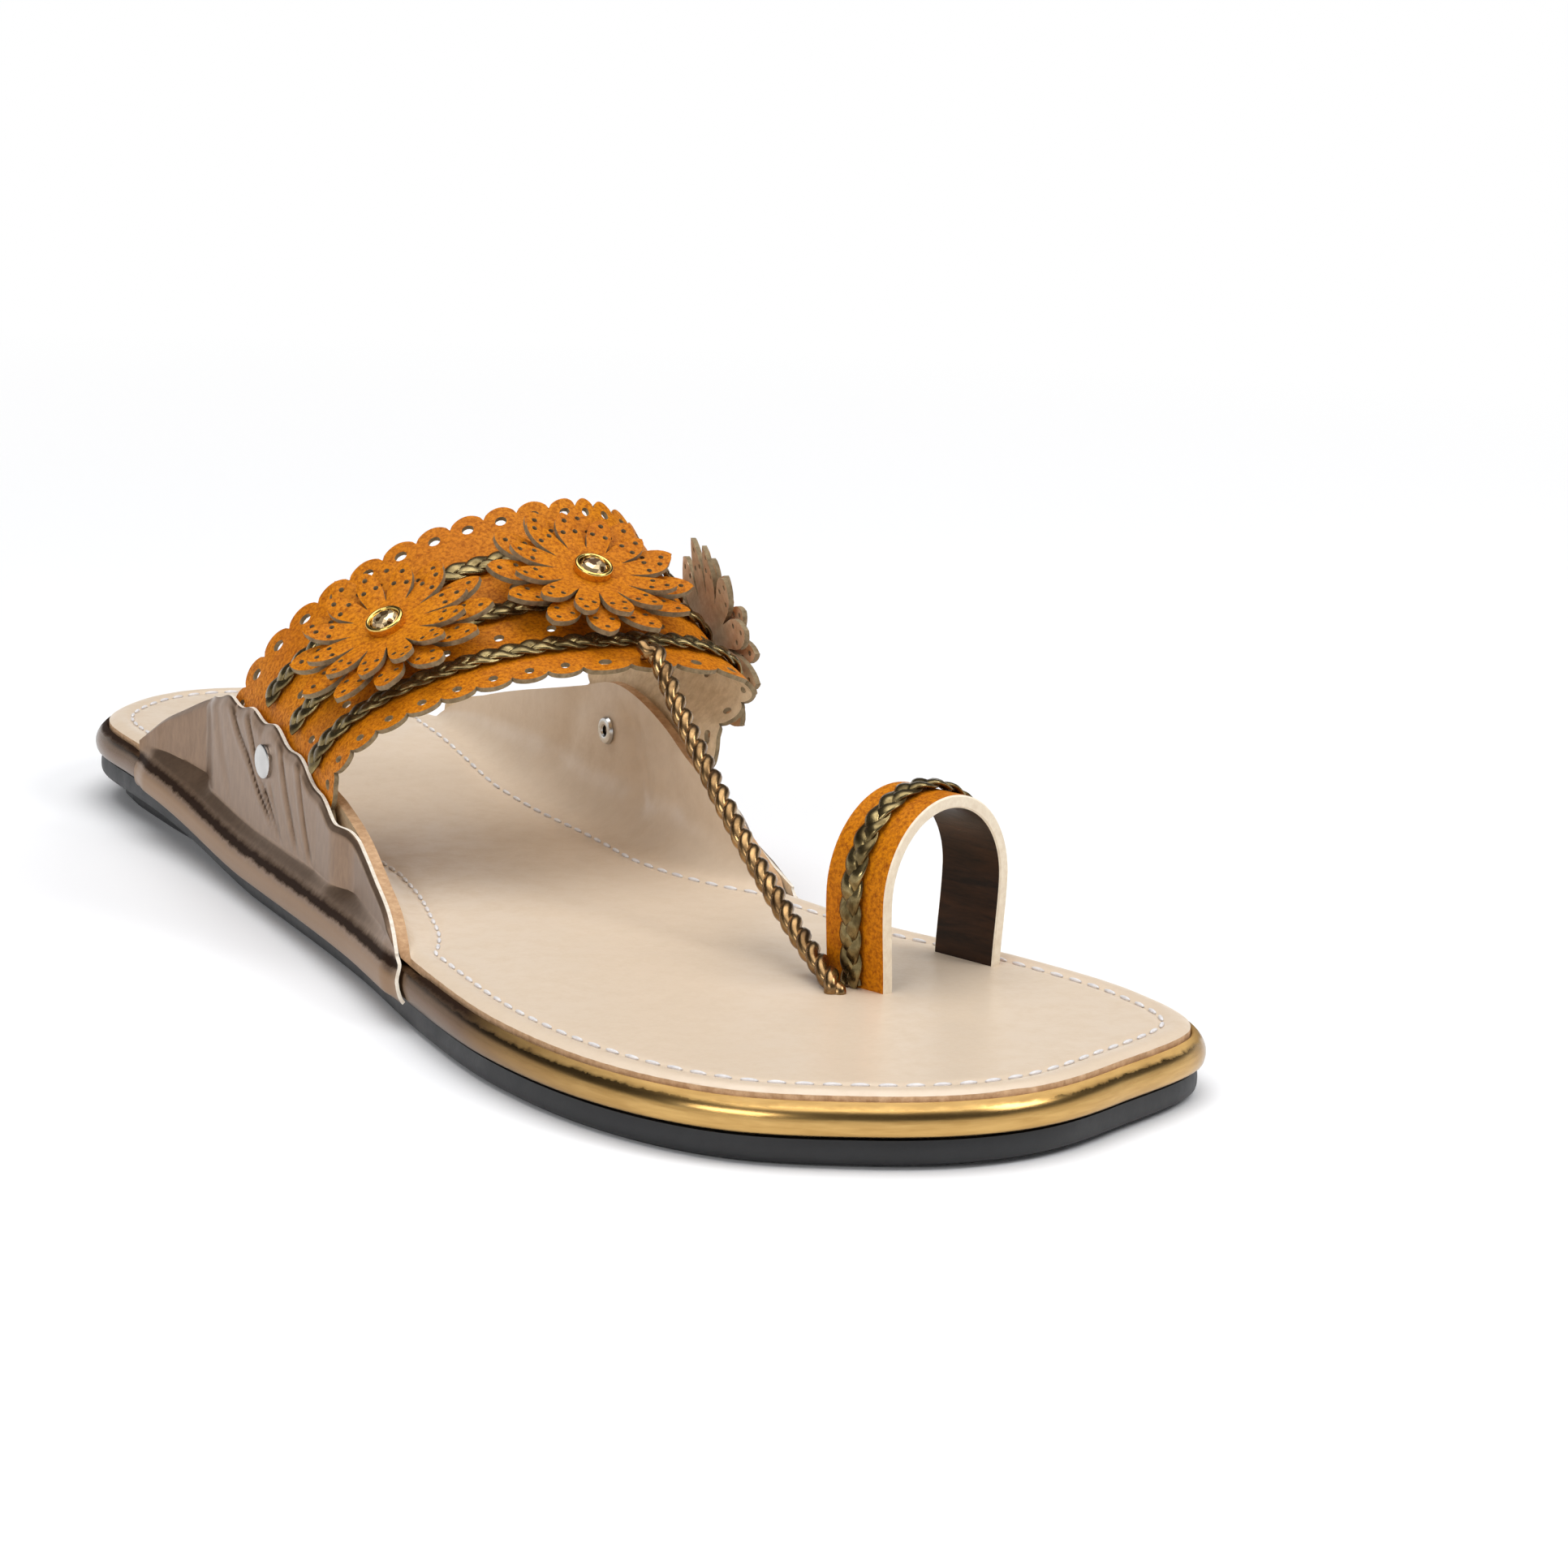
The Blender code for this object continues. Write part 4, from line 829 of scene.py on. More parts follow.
def tube_faces(levels, size):
    """Faces between rings of points that follow one another, each ring of the given size."""
    faces = []
    for level in range(levels - 1):
        for index in range(size):
            a, b = level * size + index, level * size + (index + 1) % size
            faces.append((a, b, b + size, a + size))
    return faces


def round_point(radius, turn, height):
    """Point at a radius, turn and height round an upright axis."""
    return Vector((radius * math.cos(turn), radius * math.sin(turn), height))


def grid_points(surface, rows, columns):
    """Points and unit normals of surface(a, b) over a grid, as arrays."""
    points = np.array([[tuple(surface(a, b)) for b in columns] for a in rows])
    along_a = np.gradient(points, axis=0)
    along_b = np.gradient(points, axis=1)
    normals = np.cross(along_a, along_b)
    normals /= np.maximum(np.linalg.norm(normals, axis=2, keepdims=True), 1e-12)
    return points, normals


def thick_grid(name, bottom, top, materials, angle=40.0):
    """Closed sheet between two grids of points: face, cut edge and back have a material each."""
    n, m = top.shape[:2]
    verts = np.vstack([bottom.reshape(-1, 3), top.reshape(-1, 3)])
    layer = n * m
    faces, zones = [], []
    for i in range(n - 1):
        for j in range(m - 1):
            a, b, c, d = i * m + j, i * m + j + 1, (i + 1) * m + j + 1, (i + 1) * m + j
            faces += [(a, b, c, d), (layer + a, layer + d, layer + c, layer + b)]
            zones += [2, 0]
    border = [(0, j) for j in range(m)] + [(i, m - 1) for i in range(1, n)]
    border += [(n - 1, j) for j in range(m - 2, -1, -1)] + [(i, 0) for i in range(n - 2, 0, -1)]
    for index, (i, j) in enumerate(border):
        k, l = border[(index + 1) % len(border)]
        a, b = i * m + j, k * m + l
        faces.append((a, layer + a, layer + b, b))
        zones.append(1)
    return make_piece(name, verts, faces, zones, materials, angle)


def ring_points(x, y, radius, count=12):
    """Points round a small hole in a flat cutting."""
    return [(x + radius * math.cos(math.tau * k / count), y + radius * math.sin(math.tau * k / count))
            for k in range(count)]


def cut_flat(outline, holes, spacing, inside):
    """Fill a flat outline, less its round holes, with even triangles.

    outline is a ring of points, holes are (x, y, radius), and inside(x, y) tells whether a place
    is within the outline.
    """
    loops = [outline] + [ring_points(*hole) for hole in holes]
    points, edges = [], []
    for loop in loops:
        start = len(points)
        points += loop
        edges += [(start + k, start + (k + 1) % len(loop)) for k in range(len(loop))]
    rim = np.array(points)
    low, high = rim.min(0), rim.max(0)
    row, y = 0, low[1]
    while y < high[1]:
        x = low[0] + (0.5 * spacing if row % 2 else 0.0)
        while x < high[0]:
            clear = np.min(np.hypot(rim[:, 0] - x, rim[:, 1] - y)) > 0.55 * spacing
            clear = clear and all(math.hypot(x - h[0], y - h[1]) > h[2] for h in holes)
            if clear and inside(x, y):
                points.append((x, y))
            x += spacing
        y += 0.866 * spacing
        row += 1
    made = delaunay_2d_cdt([Vector(p) * FILL_SCALE for p in points], edges, [], 0, 1e-6)
    flat = [(v.x / FILL_SCALE, v.y / FILL_SCALE) for v in made[0]]
    kept = []
    for face in made[2]:
        x = sum(flat[k][0] for k in face) / 3
        y = sum(flat[k][1] for k in face) / 3
        if inside(x, y) and all(math.hypot(x - h[0], y - h[1]) > 0.97 * h[2] for h in holes):
            kept.append(tuple(face))
    return flat, kept


def leather_cutting(name, flat, triangles, lifted, thickness, materials, burnish=0.16 * MM):
    """Solid leather from flat triangles; lifted(x, y, height) places a point over the lower face."""
    count = {}
    for a, b, c in triangles:
        for edge in ((a, b), (b, c), (c, a)):
            key = tuple(sorted(edge))
            count[key] = count.get(key, []) + [edge]
    border = [edges[0] for edges in count.values() if len(edges) == 1]
    rim = {k for edge in border for k in edge}
    used = sorted({k for face in triangles for k in face})
    index = {k: i for i, k in enumerate(used)}
    size = len(used)
    verts = [lifted(*flat[k], burnish if k in rim else 0.0) for k in used]
    verts += [lifted(*flat[k], thickness - (burnish if k in rim else 0.0)) for k in used]
    faces, zones = [], []
    for a, b, c in triangles:
        a, b, c = index[a], index[b], index[c]
        faces += [(a, c, b), (size + a, size + b, size + c)]
        zones += [2, 0]
    for a, b in border:
        a, b = index[a], index[b]
        faces.append((a, b, size + b, size + a))
        zones.append(1)
    return make_piece(name, verts, faces, zones, materials, 50.0)


def lathe(name, profile, centre, axis, zones, materials, sides=40, angle=35.0):
    """Turned solid from (radius, height) pairs, both ends on the axis; a material zone for each step."""
    turn = Vector((0, 0, 1)).rotation_difference(axis)
    verts, faces, face_zones, rings = [], [], [], []
    for radius, height in profile:
        count = 1 if radius < 1e-9 else sides
        rings.append((len(verts), count))
        verts += [centre + turn @ round_point(radius, math.tau * k / sides, height) for k in range(count)]
    for zone, (low, low_count), (high, high_count) in zip(zones, rings, rings[1:]):
        for k in range(sides):
            l = (k + 1) % sides
            if low_count == 1:
                faces.append((low, high + k, high + l))
            elif high_count == 1:
                faces.append((low + k, low + l, high))
            else:
                faces.append((low + k, low + l, high + l, high + k))
            face_zones.append(zone)
    return make_piece(name, verts, faces, face_zones, materials, angle)


# Shader helpers

def feed(tree, socket, value):
    """Link an input to another node's socket, or set its plain value."""
    if isinstance(value, bpy.types.NodeSocket):
        tree.links.new(value, socket)
    else:
        socket.default_value = value


def add_node(tree, kind, values=None, **settings):
    """Add a node with its settings; values gives sockets or plain values for its inputs."""
    made = tree.nodes.new(kind)
    for key, value in settings.items():
        setattr(made, key, value)
    for key, value in (values or {}).items():
        feed(tree, made.inputs[key], value)
    return made


def mix_colour(tree, factor, first, second):
    """Blend two colours or sockets by a factor socket, and give the result's socket."""
    mix = add_node(tree, "ShaderNodeMix", data_type="RGBA")
    sockets = [s for s in mix.inputs if s.enabled]
    for socket, value in zip(sockets, (factor, first, second)):
        feed(tree, socket, (*value, 1.0) if isinstance(value, tuple) else value)
    return [s for s in mix.outputs if s.enabled][0]


def mix_shaders(tree, factor, first, second):
    """Blend two shaders by a factor socket."""
    return add_node(tree, "ShaderNodeMixShader", {0: factor, 1: first, 2: second}).outputs[0]


def math_node(tree, operation, *values):
    """Result of a math node fed by sockets or plain numbers."""
    return add_node(tree, "ShaderNodeMath", dict(enumerate(values)), operation=operation).outputs[0]


def noise(tree, vector, **values):
    """Value of a noise texture read at a vector socket."""
    return add_node(tree, "ShaderNodeTexNoise", {"Vector": vector, **values}).outputs["Fac"]


def attribute(tree, name):
    """Number stored on the mesh under a name."""
    return add_node(tree, "ShaderNodeAttribute", attribute_name=name).outputs["Fac"]


def ramp(tree, source, low, high, start=0.0, end=1.0):
    """Spread the values between low and high over start to end."""
    values = {"Value": source, "From Min": low, "From Max": high, "To Min": start, "To Max": end}
    return add_node(tree, "ShaderNodeMapRange", values).outputs["Result"]


def new_group(kind, name, inputs, outputs):
    """Node group with sockets of (name, kind) or (name, kind, value); gives its ends' sockets too."""
    group = bpy.data.node_groups.new(name, kind)
    for direction, sockets in (("INPUT", inputs), ("OUTPUT", outputs)):
        for socket_name, socket_kind, *value in sockets:
            socket = group.interface.new_socket(socket_name, in_out=direction,
                                                socket_type="NodeSocket" + socket_kind)
            if value:
                socket.default_value = value[0]
    return group, group.nodes.new("NodeGroupInput").outputs, group.nodes.new("NodeGroupOutput").inputs


def build_grain_group():
    """Leather grain: pebbled height, dark mottling and a slow change of tone over the hide."""
    group, given, result = new_group(
        "ShaderNodeTree", "leather grain",
        (("Vector", "Vector"), ("Pebbles", "Float", 1400.0), ("Mottle", "Float", 500.0)),
        (("Height", "Float"), ("Mottle", "Float"), ("Tone", "Float")))
    values = {"Vector": given["Vector"], "Scale": given["Pebbles"], "Smoothness": 0.4}
    pebbles = add_node(group, "ShaderNodeTexVoronoi", values, feature="SMOOTH_F1")
    mottle = noise(group, given["Vector"], Scale=given["Mottle"], Detail=6.0, Roughness=0.72)
    tone = noise(group, given["Vector"], Scale=55.0, Detail=3.0)
    feed(group, result["Height"], pebbles.outputs["Distance"])
    feed(group, result["Mottle"], ramp(group, mottle, 0.42, 0.66))
    feed(group, result["Tone"], ramp(group, tone, 0.3, 0.7))
    return group


def build_streak_group():
    """Streaks that run one way over rubbed leather: a mask and a height."""
    group, given, result = new_group(
        "ShaderNodeTree", "rubbed streaks",
        (("Vector", "Vector"), ("Stretch", "Vector", (60.0, 60.0, 8.0)), ("Sharpness", "Float", 0.6)),
        (("Mask", "Float"), ("Height", "Float")))
    factors = {0: given["Vector"], 1: given["Stretch"]}
    stretch = add_node(group, "ShaderNodeVectorMath", factors, operation="MULTIPLY")
    height = noise(group, stretch.outputs["Vector"], Scale=1.0, Detail=7.0, Distortion=0.4,
                   Roughness=given["Sharpness"])
    feed(group, result["Mask"], ramp(group, height, 0.36, 0.68))
    feed(group, result["Height"], height)
    return group


def set_shader(tree, shader, **values):
    """Give a shader's inputs sockets or plain values, with _ for each space of a name."""
    for key, value in values.items():
        feed(tree, shader.inputs[key.replace("_", " ")], value)


def start_material(name, roughness, metallic=0.0, **values):
    """New material: its tree, its Principled shader and Object coordinates."""
    material = bpy.data.materials.new(name)
    material.use_nodes = True
    tree = material.node_tree
    shader = tree.nodes["Principled BSDF"]
    set_shader(tree, shader, Roughness=roughness, Metallic=metallic, **values)
    return material, tree, shader, tree.nodes.new("ShaderNodeTexCoord").outputs["Object"]


def place_group(tree, group, coordinates, **values):
    """Outputs of a node group placed in a material, reading the given coordinates."""
    values["Vector"] = coordinates
    return add_node(tree, "ShaderNodeGroup", values, node_tree=group).outputs


def raise_height(tree, shader, height, distance):
    """Bump the shader's surface by a height socket."""
    bump = add_node(tree, "ShaderNodeBump", {"Height": height, "Distance": distance, "Strength": 1.0})
    set_shader(tree, shader, Normal=bump.outputs["Normal"])


def grained_leather(name, light, dark, deep, roughness, pebble_depth, mottle_scale, **values):
    """Dyed leather: two tones over the hide, deep mottling and fine pebbles."""
    material, tree, shader, coordinates = start_material(name, roughness, **values)
    grain = place_group(tree, GRAIN, coordinates, Mottle=mottle_scale)
    colour = mix_colour(tree, grain["Tone"], light, dark)
    set_shader(tree, shader, Base_Color=mix_colour(tree, grain["Mottle"], colour, deep),
               Roughness=ramp(tree, grain["Mottle"], 0.0, 1.0, roughness - 0.05, roughness + 0.12))
    raise_height(tree, shader, grain["Height"], pebble_depth)
    return material


def suede(name, light, dark, scale=900.0, roughness=0.92):
    """Raw cut or napped leather, or soft thread."""
    material, tree, shader, coordinates = start_material(name, roughness)
    nap = noise(tree, coordinates, Scale=scale, Detail=5.0, Roughness=0.7)
    set_shader(tree, shader, Base_Color=mix_colour(tree, ramp(tree, nap, 0.35, 0.68), light, dark))
    raise_height(tree, shader, nap, 0.12 * MM)
    return material


def streaked_metal_leather(name, light, dark, roughness, metallic, stretch, depth, sharpness=0.6):
    """Foiled leather whose metal sheen is rubbed in streaks."""
    material, tree, shader, coordinates = start_material(name, roughness, metallic)
    streaks = place_group(tree, STREAKS, coordinates, Stretch=stretch, Sharpness=sharpness)
    set_shader(tree, shader, Base_Color=mix_colour(tree, streaks["Mask"], dark, light),
               Roughness=ramp(tree, streaks["Mask"], 0.0, 1.0, roughness + 0.1, roughness - 0.04))
    raise_height(tree, shader, streaks["Height"], depth)
    return material


def fold_reflection_masks(tree, coordinates):
    """Masks with a ragged border: the nearly black line along the rand's top, a painted reflection of the
    dark surroundings, and the bead below.
    """
    ragged = noise(tree, coordinates, Scale=480.0, Detail=5.0, Roughness=0.75)
    height = math_node(tree, "MULTIPLY_ADD", ragged, FOLD_RAGGED, attribute(tree, "fold_height"))
    strip = math_node(tree, "MULTIPLY", ramp(tree, height, FOLD_BOTTOM, FOLD_BOTTOM + 0.5 * MM),
                      ramp(tree, height, FOLD_TOP + 1.0 * MM, FOLD_TOP))
    return strip, ramp(tree, height, FOLD_BOTTOM, FOLD_BOTTOM - 0.6 * MM)


def paint_toe_sheen(tree, coordinates, mask, colour):
    """Paint a colour bright gold at the front of the big-toe side, a painted reflection of the light on the
    toe.
    """
    place_in = add_node(tree, "ShaderNodeSeparateXYZ", {"Vector": coordinates}).outputs
    toe_sheen = math_node(tree, "MULTIPLY", ramp(tree, place_in["Y"], *TOE_SHEEN_RUN),
                       ramp(tree, place_in["X"], *TOE_SHEEN_SIDE))
    return mix_colour(tree, toe_sheen, colour, mix_colour(tree, mask, *TOE_SHEEN_GOLDS))


def folded_bronze(name, light, dark, bead, roughness, metallic, stretch, paints_toe_sheen):
    """Foiled bronze leather, satin above, painted nearly black in the fold as a painted reflection of the
    dark surroundings, and plainer on the bead below it.

    The rand's leather is painted bright gold at the toe, a painted reflection of the light there; the
    covers' one gets painted shade in its veins instead.
    """
    material, tree, shader, coordinates = start_material(name, roughness, metallic, Specular_IOR_Level=0.05)
    streaks = place_group(tree, STREAKS, coordinates, Stretch=stretch, Sharpness=0.55)
    strip, low = fold_reflection_masks(tree, coordinates)
    colour = mix_colour(tree, low, mix_colour(tree, streaks["Mask"], dark, light), bead)
    if not paints_toe_sheen:
        # Painted shade: the veins' creases are darkened by their depth
        vein = ramp(tree, attribute(tree, "vein"), 0.15, 1.0, 0.0, 0.7)
        colour = mix_colour(tree, vein, colour, VEIN_SHADE)
    # Painted reflection: the fold is painted nearly black
    colour = mix_colour(tree, strip, colour, PAINTED_FOLD_REFLECTION)
    # Painted reflection: the rand's toe front is painted bright gold
    if paints_toe_sheen:
        colour = paint_toe_sheen(tree, coordinates, streaks["Mask"], colour)
    set_shader(tree, shader, Base_Color=colour, Metallic=ramp(tree, strip, 0.0, 1.0, metallic, 0.1),
               Roughness=ramp(tree, strip, 0.0, 1.0, roughness, 0.6))
    raise_height(tree, shader, streaks["Height"], 0.012 * MM)
    return material


def plain_metal(name, colour, roughness, scratch_depth=0.01 * MM):
    """Plated metal with faint handling marks."""
    material, tree, shader, coordinates = start_material(name, roughness, 1.0)
    streaks = place_group(tree, STREAKS, coordinates, Stretch=(900.0, 300.0, 300.0))
    worn = tuple(0.8 * part for part in colour)
    set_shader(tree, shader, Base_Color=mix_colour(tree, streaks["Mask"], worn, colour))
    raise_height(tree, shader, streaks["Height"], scratch_depth)
    return material


def build_rubber():
    """Black rubber with a dusty, lightly scuffed skin."""
    material, tree, shader, coordinates = start_material("black rubber", 0.48)
    dust = noise(tree, coordinates, Scale=160.0, Detail=6.0, Roughness=0.7)
    colour = mix_colour(tree, ramp(tree, dust, 0.45, 0.75), (0.006, 0.006, 0.007), (0.016, 0.017, 0.019))
    set_shader(tree, shader, Base_Color=colour, Roughness=ramp(tree, dust, 0.3, 0.7, 0.4, 0.6))
    raise_height(tree, shader, dust, 0.08 * MM)
    return material


def build_crystal():
    """Foil-backed champagne stone: flat facets over a warm metal ground, its colour broken into random dark
    brown and bright champagne cells, partly its own tone and partly painted reflection of facets catching
    dark and light.
    """
    material, tree, shader, coordinates = start_material("champagne crystal", 0.08, 0.75, Coat_Weight=0.35,
                                                         Coat_Roughness=0.02)
    glint_cells = add_node(tree, "ShaderNodeTexVoronoi", {"Scale": 900.0, "Vector": coordinates}).outputs["Color"]
    tone_and_glints = mix_colour(tree, ramp(tree, glint_cells, 0.4, 0.55), (0.16, 0.075, 0.02), (0.86, 0.64, 0.36))
    set_shader(tree, shader, Base_Color=tone_and_glints)
    return material


GRAIN = build_grain_group()
STREAKS = build_streak_group()
ORANGE = grained_leather("orange leather", (0.68, 0.235, 0.004), (0.58, 0.175, 0.003), (0.27, 0.06, 0.002),
                         0.55, 0.03 * MM, 1700.0, Specular_IOR_Level=0.12)
CUT_EDGE = suede("cut leather edge", (0.34, 0.25, 0.14), (0.16, 0.115, 0.06))
SUEDE = suede("band underside", (0.80, 0.64, 0.44), (0.60, 0.45, 0.28), 700.0)
CREAM = grained_leather("cream insole leather", (0.735, 0.60, 0.46), (0.715, 0.58, 0.44),
                        (0.685, 0.55, 0.41), 0.36, 0.018 * MM, 240.0, Coat_Weight=0.12, Coat_Roughness=0.3)
INSOLE_EDGE = suede("insole edge", (0.62, 0.40, 0.23), (0.42, 0.24, 0.12))
WHITE_EDGE = suede("white cut edge", (0.86, 0.80, 0.70), (0.68, 0.58, 0.46))
LOOP_EDGE = suede("cream loop edge", (0.90, 0.80, 0.64), (0.80, 0.68, 0.52))
COVER = folded_bronze("bronze cover leather", (0.31, 0.205, 0.135), (0.25, 0.165, 0.11),
                      (0.28, 0.17, 0.095), 0.32, 0.8, (1100.0, 1100.0, 420.0), paints_toe_sheen=False)
RAND_BRONZE = folded_bronze("bronze rand leather", (0.13, 0.07, 0.03), (0.085, 0.045, 0.02),
                            (0.14, 0.075, 0.034), 0.24, 1.0, (170.0, 170.0, 1500.0), paints_toe_sheen=True)
LINING = streaked_metal_leather("dark loop lining", (0.055, 0.020, 0.006), (0.010, 0.004, 0.002), 0.3, 0.5,
                                (70.0, 70.0, 520.0), 0.06 * MM, 0.7)
PLAIT_GOLD = streaked_metal_leather("antique gold strips", (0.36, 0.275, 0.125), (0.095, 0.066, 0.026),
                                    0.23, 0.95, (380.0, 380.0, 380.0), 0.05 * MM)
CORD_GOLD = streaked_metal_leather("bronze gold cord", (0.46, 0.285, 0.125), (0.13, 0.072, 0.03),
                                   0.22, 0.95, (300.0, 300.0, 300.0), 0.04 * MM)
RIM_GOLD = plain_metal("gold rim", (0.80, 0.56, 0.16), 0.16, 0.002 * MM)
SILVER = plain_metal("silver rivet", (0.66, 0.65, 0.63), 0.24, 0.002 * MM)
# Painted shade: the rivets' hollow bores are painted near black
BORE_PAINTED_SHADE = plain_metal("dark rivet bore", (0.05, 0.05, 0.05), 0.6)
THREAD = suede("silver white thread", (0.82, 0.80, 0.80), (0.62, 0.60, 0.62), roughness=0.4)
RUBBER = build_rubber()
CRYSTAL = build_crystal()


# Geometry node trees

def scaled_vector(tree, vector, factor):
    """Vector socket times a number socket."""
    values = {0: vector, "Scale": factor}
    return add_node(tree, "ShaderNodeVectorMath", values, operation="SCALE").outputs[0]


def named_attribute(tree, name, kind="FLOAT_VECTOR"):
    """Socket of a named attribute of the path's points."""
    made = add_node(tree, "GeometryNodeInputNamedAttribute", {"Name": name}, data_type=kind)
    return [s for s in made.outputs if s.enabled][0]


def then(tree, geometry, kind, values=None, **settings):
    """Send a geometry into one more node, and give what comes out."""
    made = add_node(tree, kind, values, **settings)
    tree.links.new(geometry, made.inputs[0])
    return made.outputs[0]


def new_tree(name, sizes):
    """Geometry node tree whose inputs are a geometry, the named sizes and a material."""
    inputs = [("Geometry", "Geometry")] + [(size, "Float") for size in sizes] + [("Material", "Material")]
    return new_group("GeometryNodeTree", name, inputs, [("Geometry", "Geometry")])


def close_tree(tree, geometry, given, result):
    """Make a geometry real, smooth and painted, and hand it over."""
    geometry = then(tree, geometry, "GeometryNodeRealizeInstances")
    geometry = then(tree, geometry, "GeometryNodeSetShadeSmooth")
    geometry = then(tree, geometry, "GeometryNodeSetMaterial", {"Material": given["Material"]})
    tree.links.new(geometry, result["Geometry"])
    return tree


def build_strand_tree():
    """Strands that weave or twist along a path: each path point knows its run, phase and axes."""
    tree, given, result = new_tree("woven strands", (
        "Sway", "Rise", "Pitch", "Rise Beats", "Rise Lead", "Strand Width", "Strand Thickness"))
    side, up = named_attribute(tree, "side_axis"), named_attribute(tree, "up_axis")
    turn = math_node(tree, "DIVIDE", named_attribute(tree, "run", "FLOAT"), given["Pitch"])
    turn = math_node(tree, "MULTIPLY", turn, math.tau)
    turn = math_node(tree, "ADD", turn, named_attribute(tree, "phase", "FLOAT"))
    sway = math_node(tree, "MULTIPLY", math_node(tree, "SINE", turn), given["Sway"])
    beat = math_node(tree, "MULTIPLY", turn, given["Rise Beats"])
    beat = math_node(tree, "ADD", beat, given["Rise Lead"])
    rise = math_node(tree, "MULTIPLY", math_node(tree, "SINE", beat), given["Rise"])
    moves = {0: scaled_vector(tree, side, sway), 1: scaled_vector(tree, up, rise)}
    offset = add_node(tree, "ShaderNodeVectorMath", moves, operation="ADD").outputs["Vector"]
    sizes = {"X": given["Strand Thickness"], "Y": given["Strand Width"], "Z": 1.0}
    size = add_node(tree, "ShaderNodeCombineXYZ", sizes).outputs["Vector"]
    ring = add_node(tree, "GeometryNodeCurvePrimitiveCircle", {"Resolution": 10, "Radius": 0.5})
    section = then(tree, ring.outputs["Curve"], "GeometryNodeTransform", {"Scale": size})
    curve = then(tree, given["Geometry"], "GeometryNodeMeshToCurve")
    curve = then(tree, curve, "GeometryNodeSetPosition", {"Offset": offset})
    curve = then(tree, curve, "GeometryNodeSetCurveNormal", {"Normal": up}, mode="FREE")
    mesh = then(tree, curve, "GeometryNodeCurveToMesh", {"Profile Curve": section, "Fill Caps": True})
    return close_tree(tree, mesh, given, result)


def build_stitch_tree():
    """A stitch on each point of a path, turned along it and laid on the leather."""
    tree, given, result = new_tree("stitches", ("Length", "Thickness"))
    bead = add_node(tree, "GeometryNodeMeshUVSphere", {"Segments": 8, "Rings": 8, "Radius": 0.5})
    sizes = {"X": given["Length"], "Y": given["Thickness"], "Z": given["Thickness"]}
    size = add_node(tree, "ShaderNodeCombineXYZ", sizes)
    heading, up = named_attribute(tree, "heading"), named_attribute(tree, "up_axis")
    turn = add_node(tree, "FunctionNodeAlignRotationToVector", {"Vector": heading}, axis="X")
    values = {"Rotation": turn.outputs["Rotation"], "Vector": up}
    level = add_node(tree, "FunctionNodeAlignRotationToVector", values, axis="Z", pivot_axis="X")
    values = {"Instance": bead.outputs["Mesh"], "Rotation": level.outputs["Rotation"],
              "Scale": size.outputs["Vector"]}
    stitches = then(tree, given["Geometry"], "GeometryNodeInstanceOnPoints", values)
    return close_tree(tree, stitches, given, result)


STRAND_TREE = build_strand_tree()
STITCH_TREE = build_stitch_tree()


def grow(name, points, edges, attributes, tree, values):
    """Run a geometry node tree on points with attributes, and keep the plain mesh it makes."""
    mesh = bpy.data.meshes.new(name + " path")
    mesh.from_pydata([tuple(p) for p in points], edges, [])
    for key, column in attributes.items():
        vector = not isinstance(column[0], float)
        made = mesh.attributes.new(key, "FLOAT_VECTOR" if vector else "FLOAT", "POINT")
        flat = [part for value in column for part in value] if vector else column
        made.data.foreach_set("vector" if vector else "value", flat)
    path = add_object(name + " path", mesh)
    modifier = path.modifiers.new("grow", "NODES")
    modifier.node_group = tree
    inputs = {s.name: s.identifier for s in tree.interface.items_tree if s.in_out == "INPUT"}
    for key, value in values.items():
        modifier[inputs[key]] = value
    graph = bpy.context.evaluated_depsgraph_get()
    grown = bpy.data.meshes.new_from_object(path.evaluated_get(graph))
    path.modifiers.clear()
    bpy.data.objects.remove(path)
    grown.name = name
    return add_object(name, grown)


def woven(name, line, strands, values):
    """Strands woven along a line of (point, side axis, up axis)."""
    points, side_axis, up_axis = (list(column) for column in zip(*line))
    size = len(points)
    starts = [strand * size for strand in range(strands)]
    edges = [(start + k, start + k + 1) for start in starts for k in range(size - 1)]
    attributes = {"run": run_lengths(points) * strands,
                  "phase": [math.tau * strand / strands for strand in range(strands) for _ in points],
                  "side_axis": side_axis * strands, "up_axis": up_axis * strands}
    return grow(name, points * strands, edges, attributes, STRAND_TREE, values)


# Sole layers

def smooth_section(section, count):
    """Evenly spread points on a smooth curve through a section's (offset, height) pairs."""
    points = [Vector((x, y, 0.0)) for x, y in section]
    return [(p.x, p.y) for p in curve_through(points, count)]


def sole_layer(name, section, base, thickness, proud, materials, count=180):
    """Sole layer lofted from a side section; its flat top and bottom are one face strip each."""
    verts = []
    for offset_share, height_share in section:
        for x, y in outline_ring(count, offset_share * proud):
            share = min(height_share, 1 + (height_share - 1) * lip_room(x, y))
            verts.append(place(x, y, base + share * thickness + sole_lift(y)))
    size = 2 * count
    faces = tube_faces(len(section), size)
    for start in (0, len(verts) - size):
        for index in range(count):
            corners = [start + index, start + index + 1]
            if index + 1 < count:
                corners.append(start + size - index - 1)
            if index > 0:
                corners.append(start + size - index)
            faces.append(tuple(corners))
    return make_piece(name, verts, faces, [0] * len(faces), materials, 50.0)


def lip_room(across, along):
    """1 where the rand's lip may rise beside the insole, 0 under an ear's cover."""
    side = LATERAL if across < 0 else MEDIAL
    before = smoothstep(EAR_REAR[side] - LIP_FAR, EAR_REAR[side] - LIP_NEAR, along)
    return 1 - before * (1 - smoothstep(EAR_FRONT[side] + LIP_NEAR, EAR_FRONT[side] + LIP_FAR, along))


def height_over_insole(point):
    """Height of a point over the plane of the insole's face at its place."""
    return point.z - INSOLE_TOP - sole_lift(INSOLE_LENGTH / 2 - point.y)


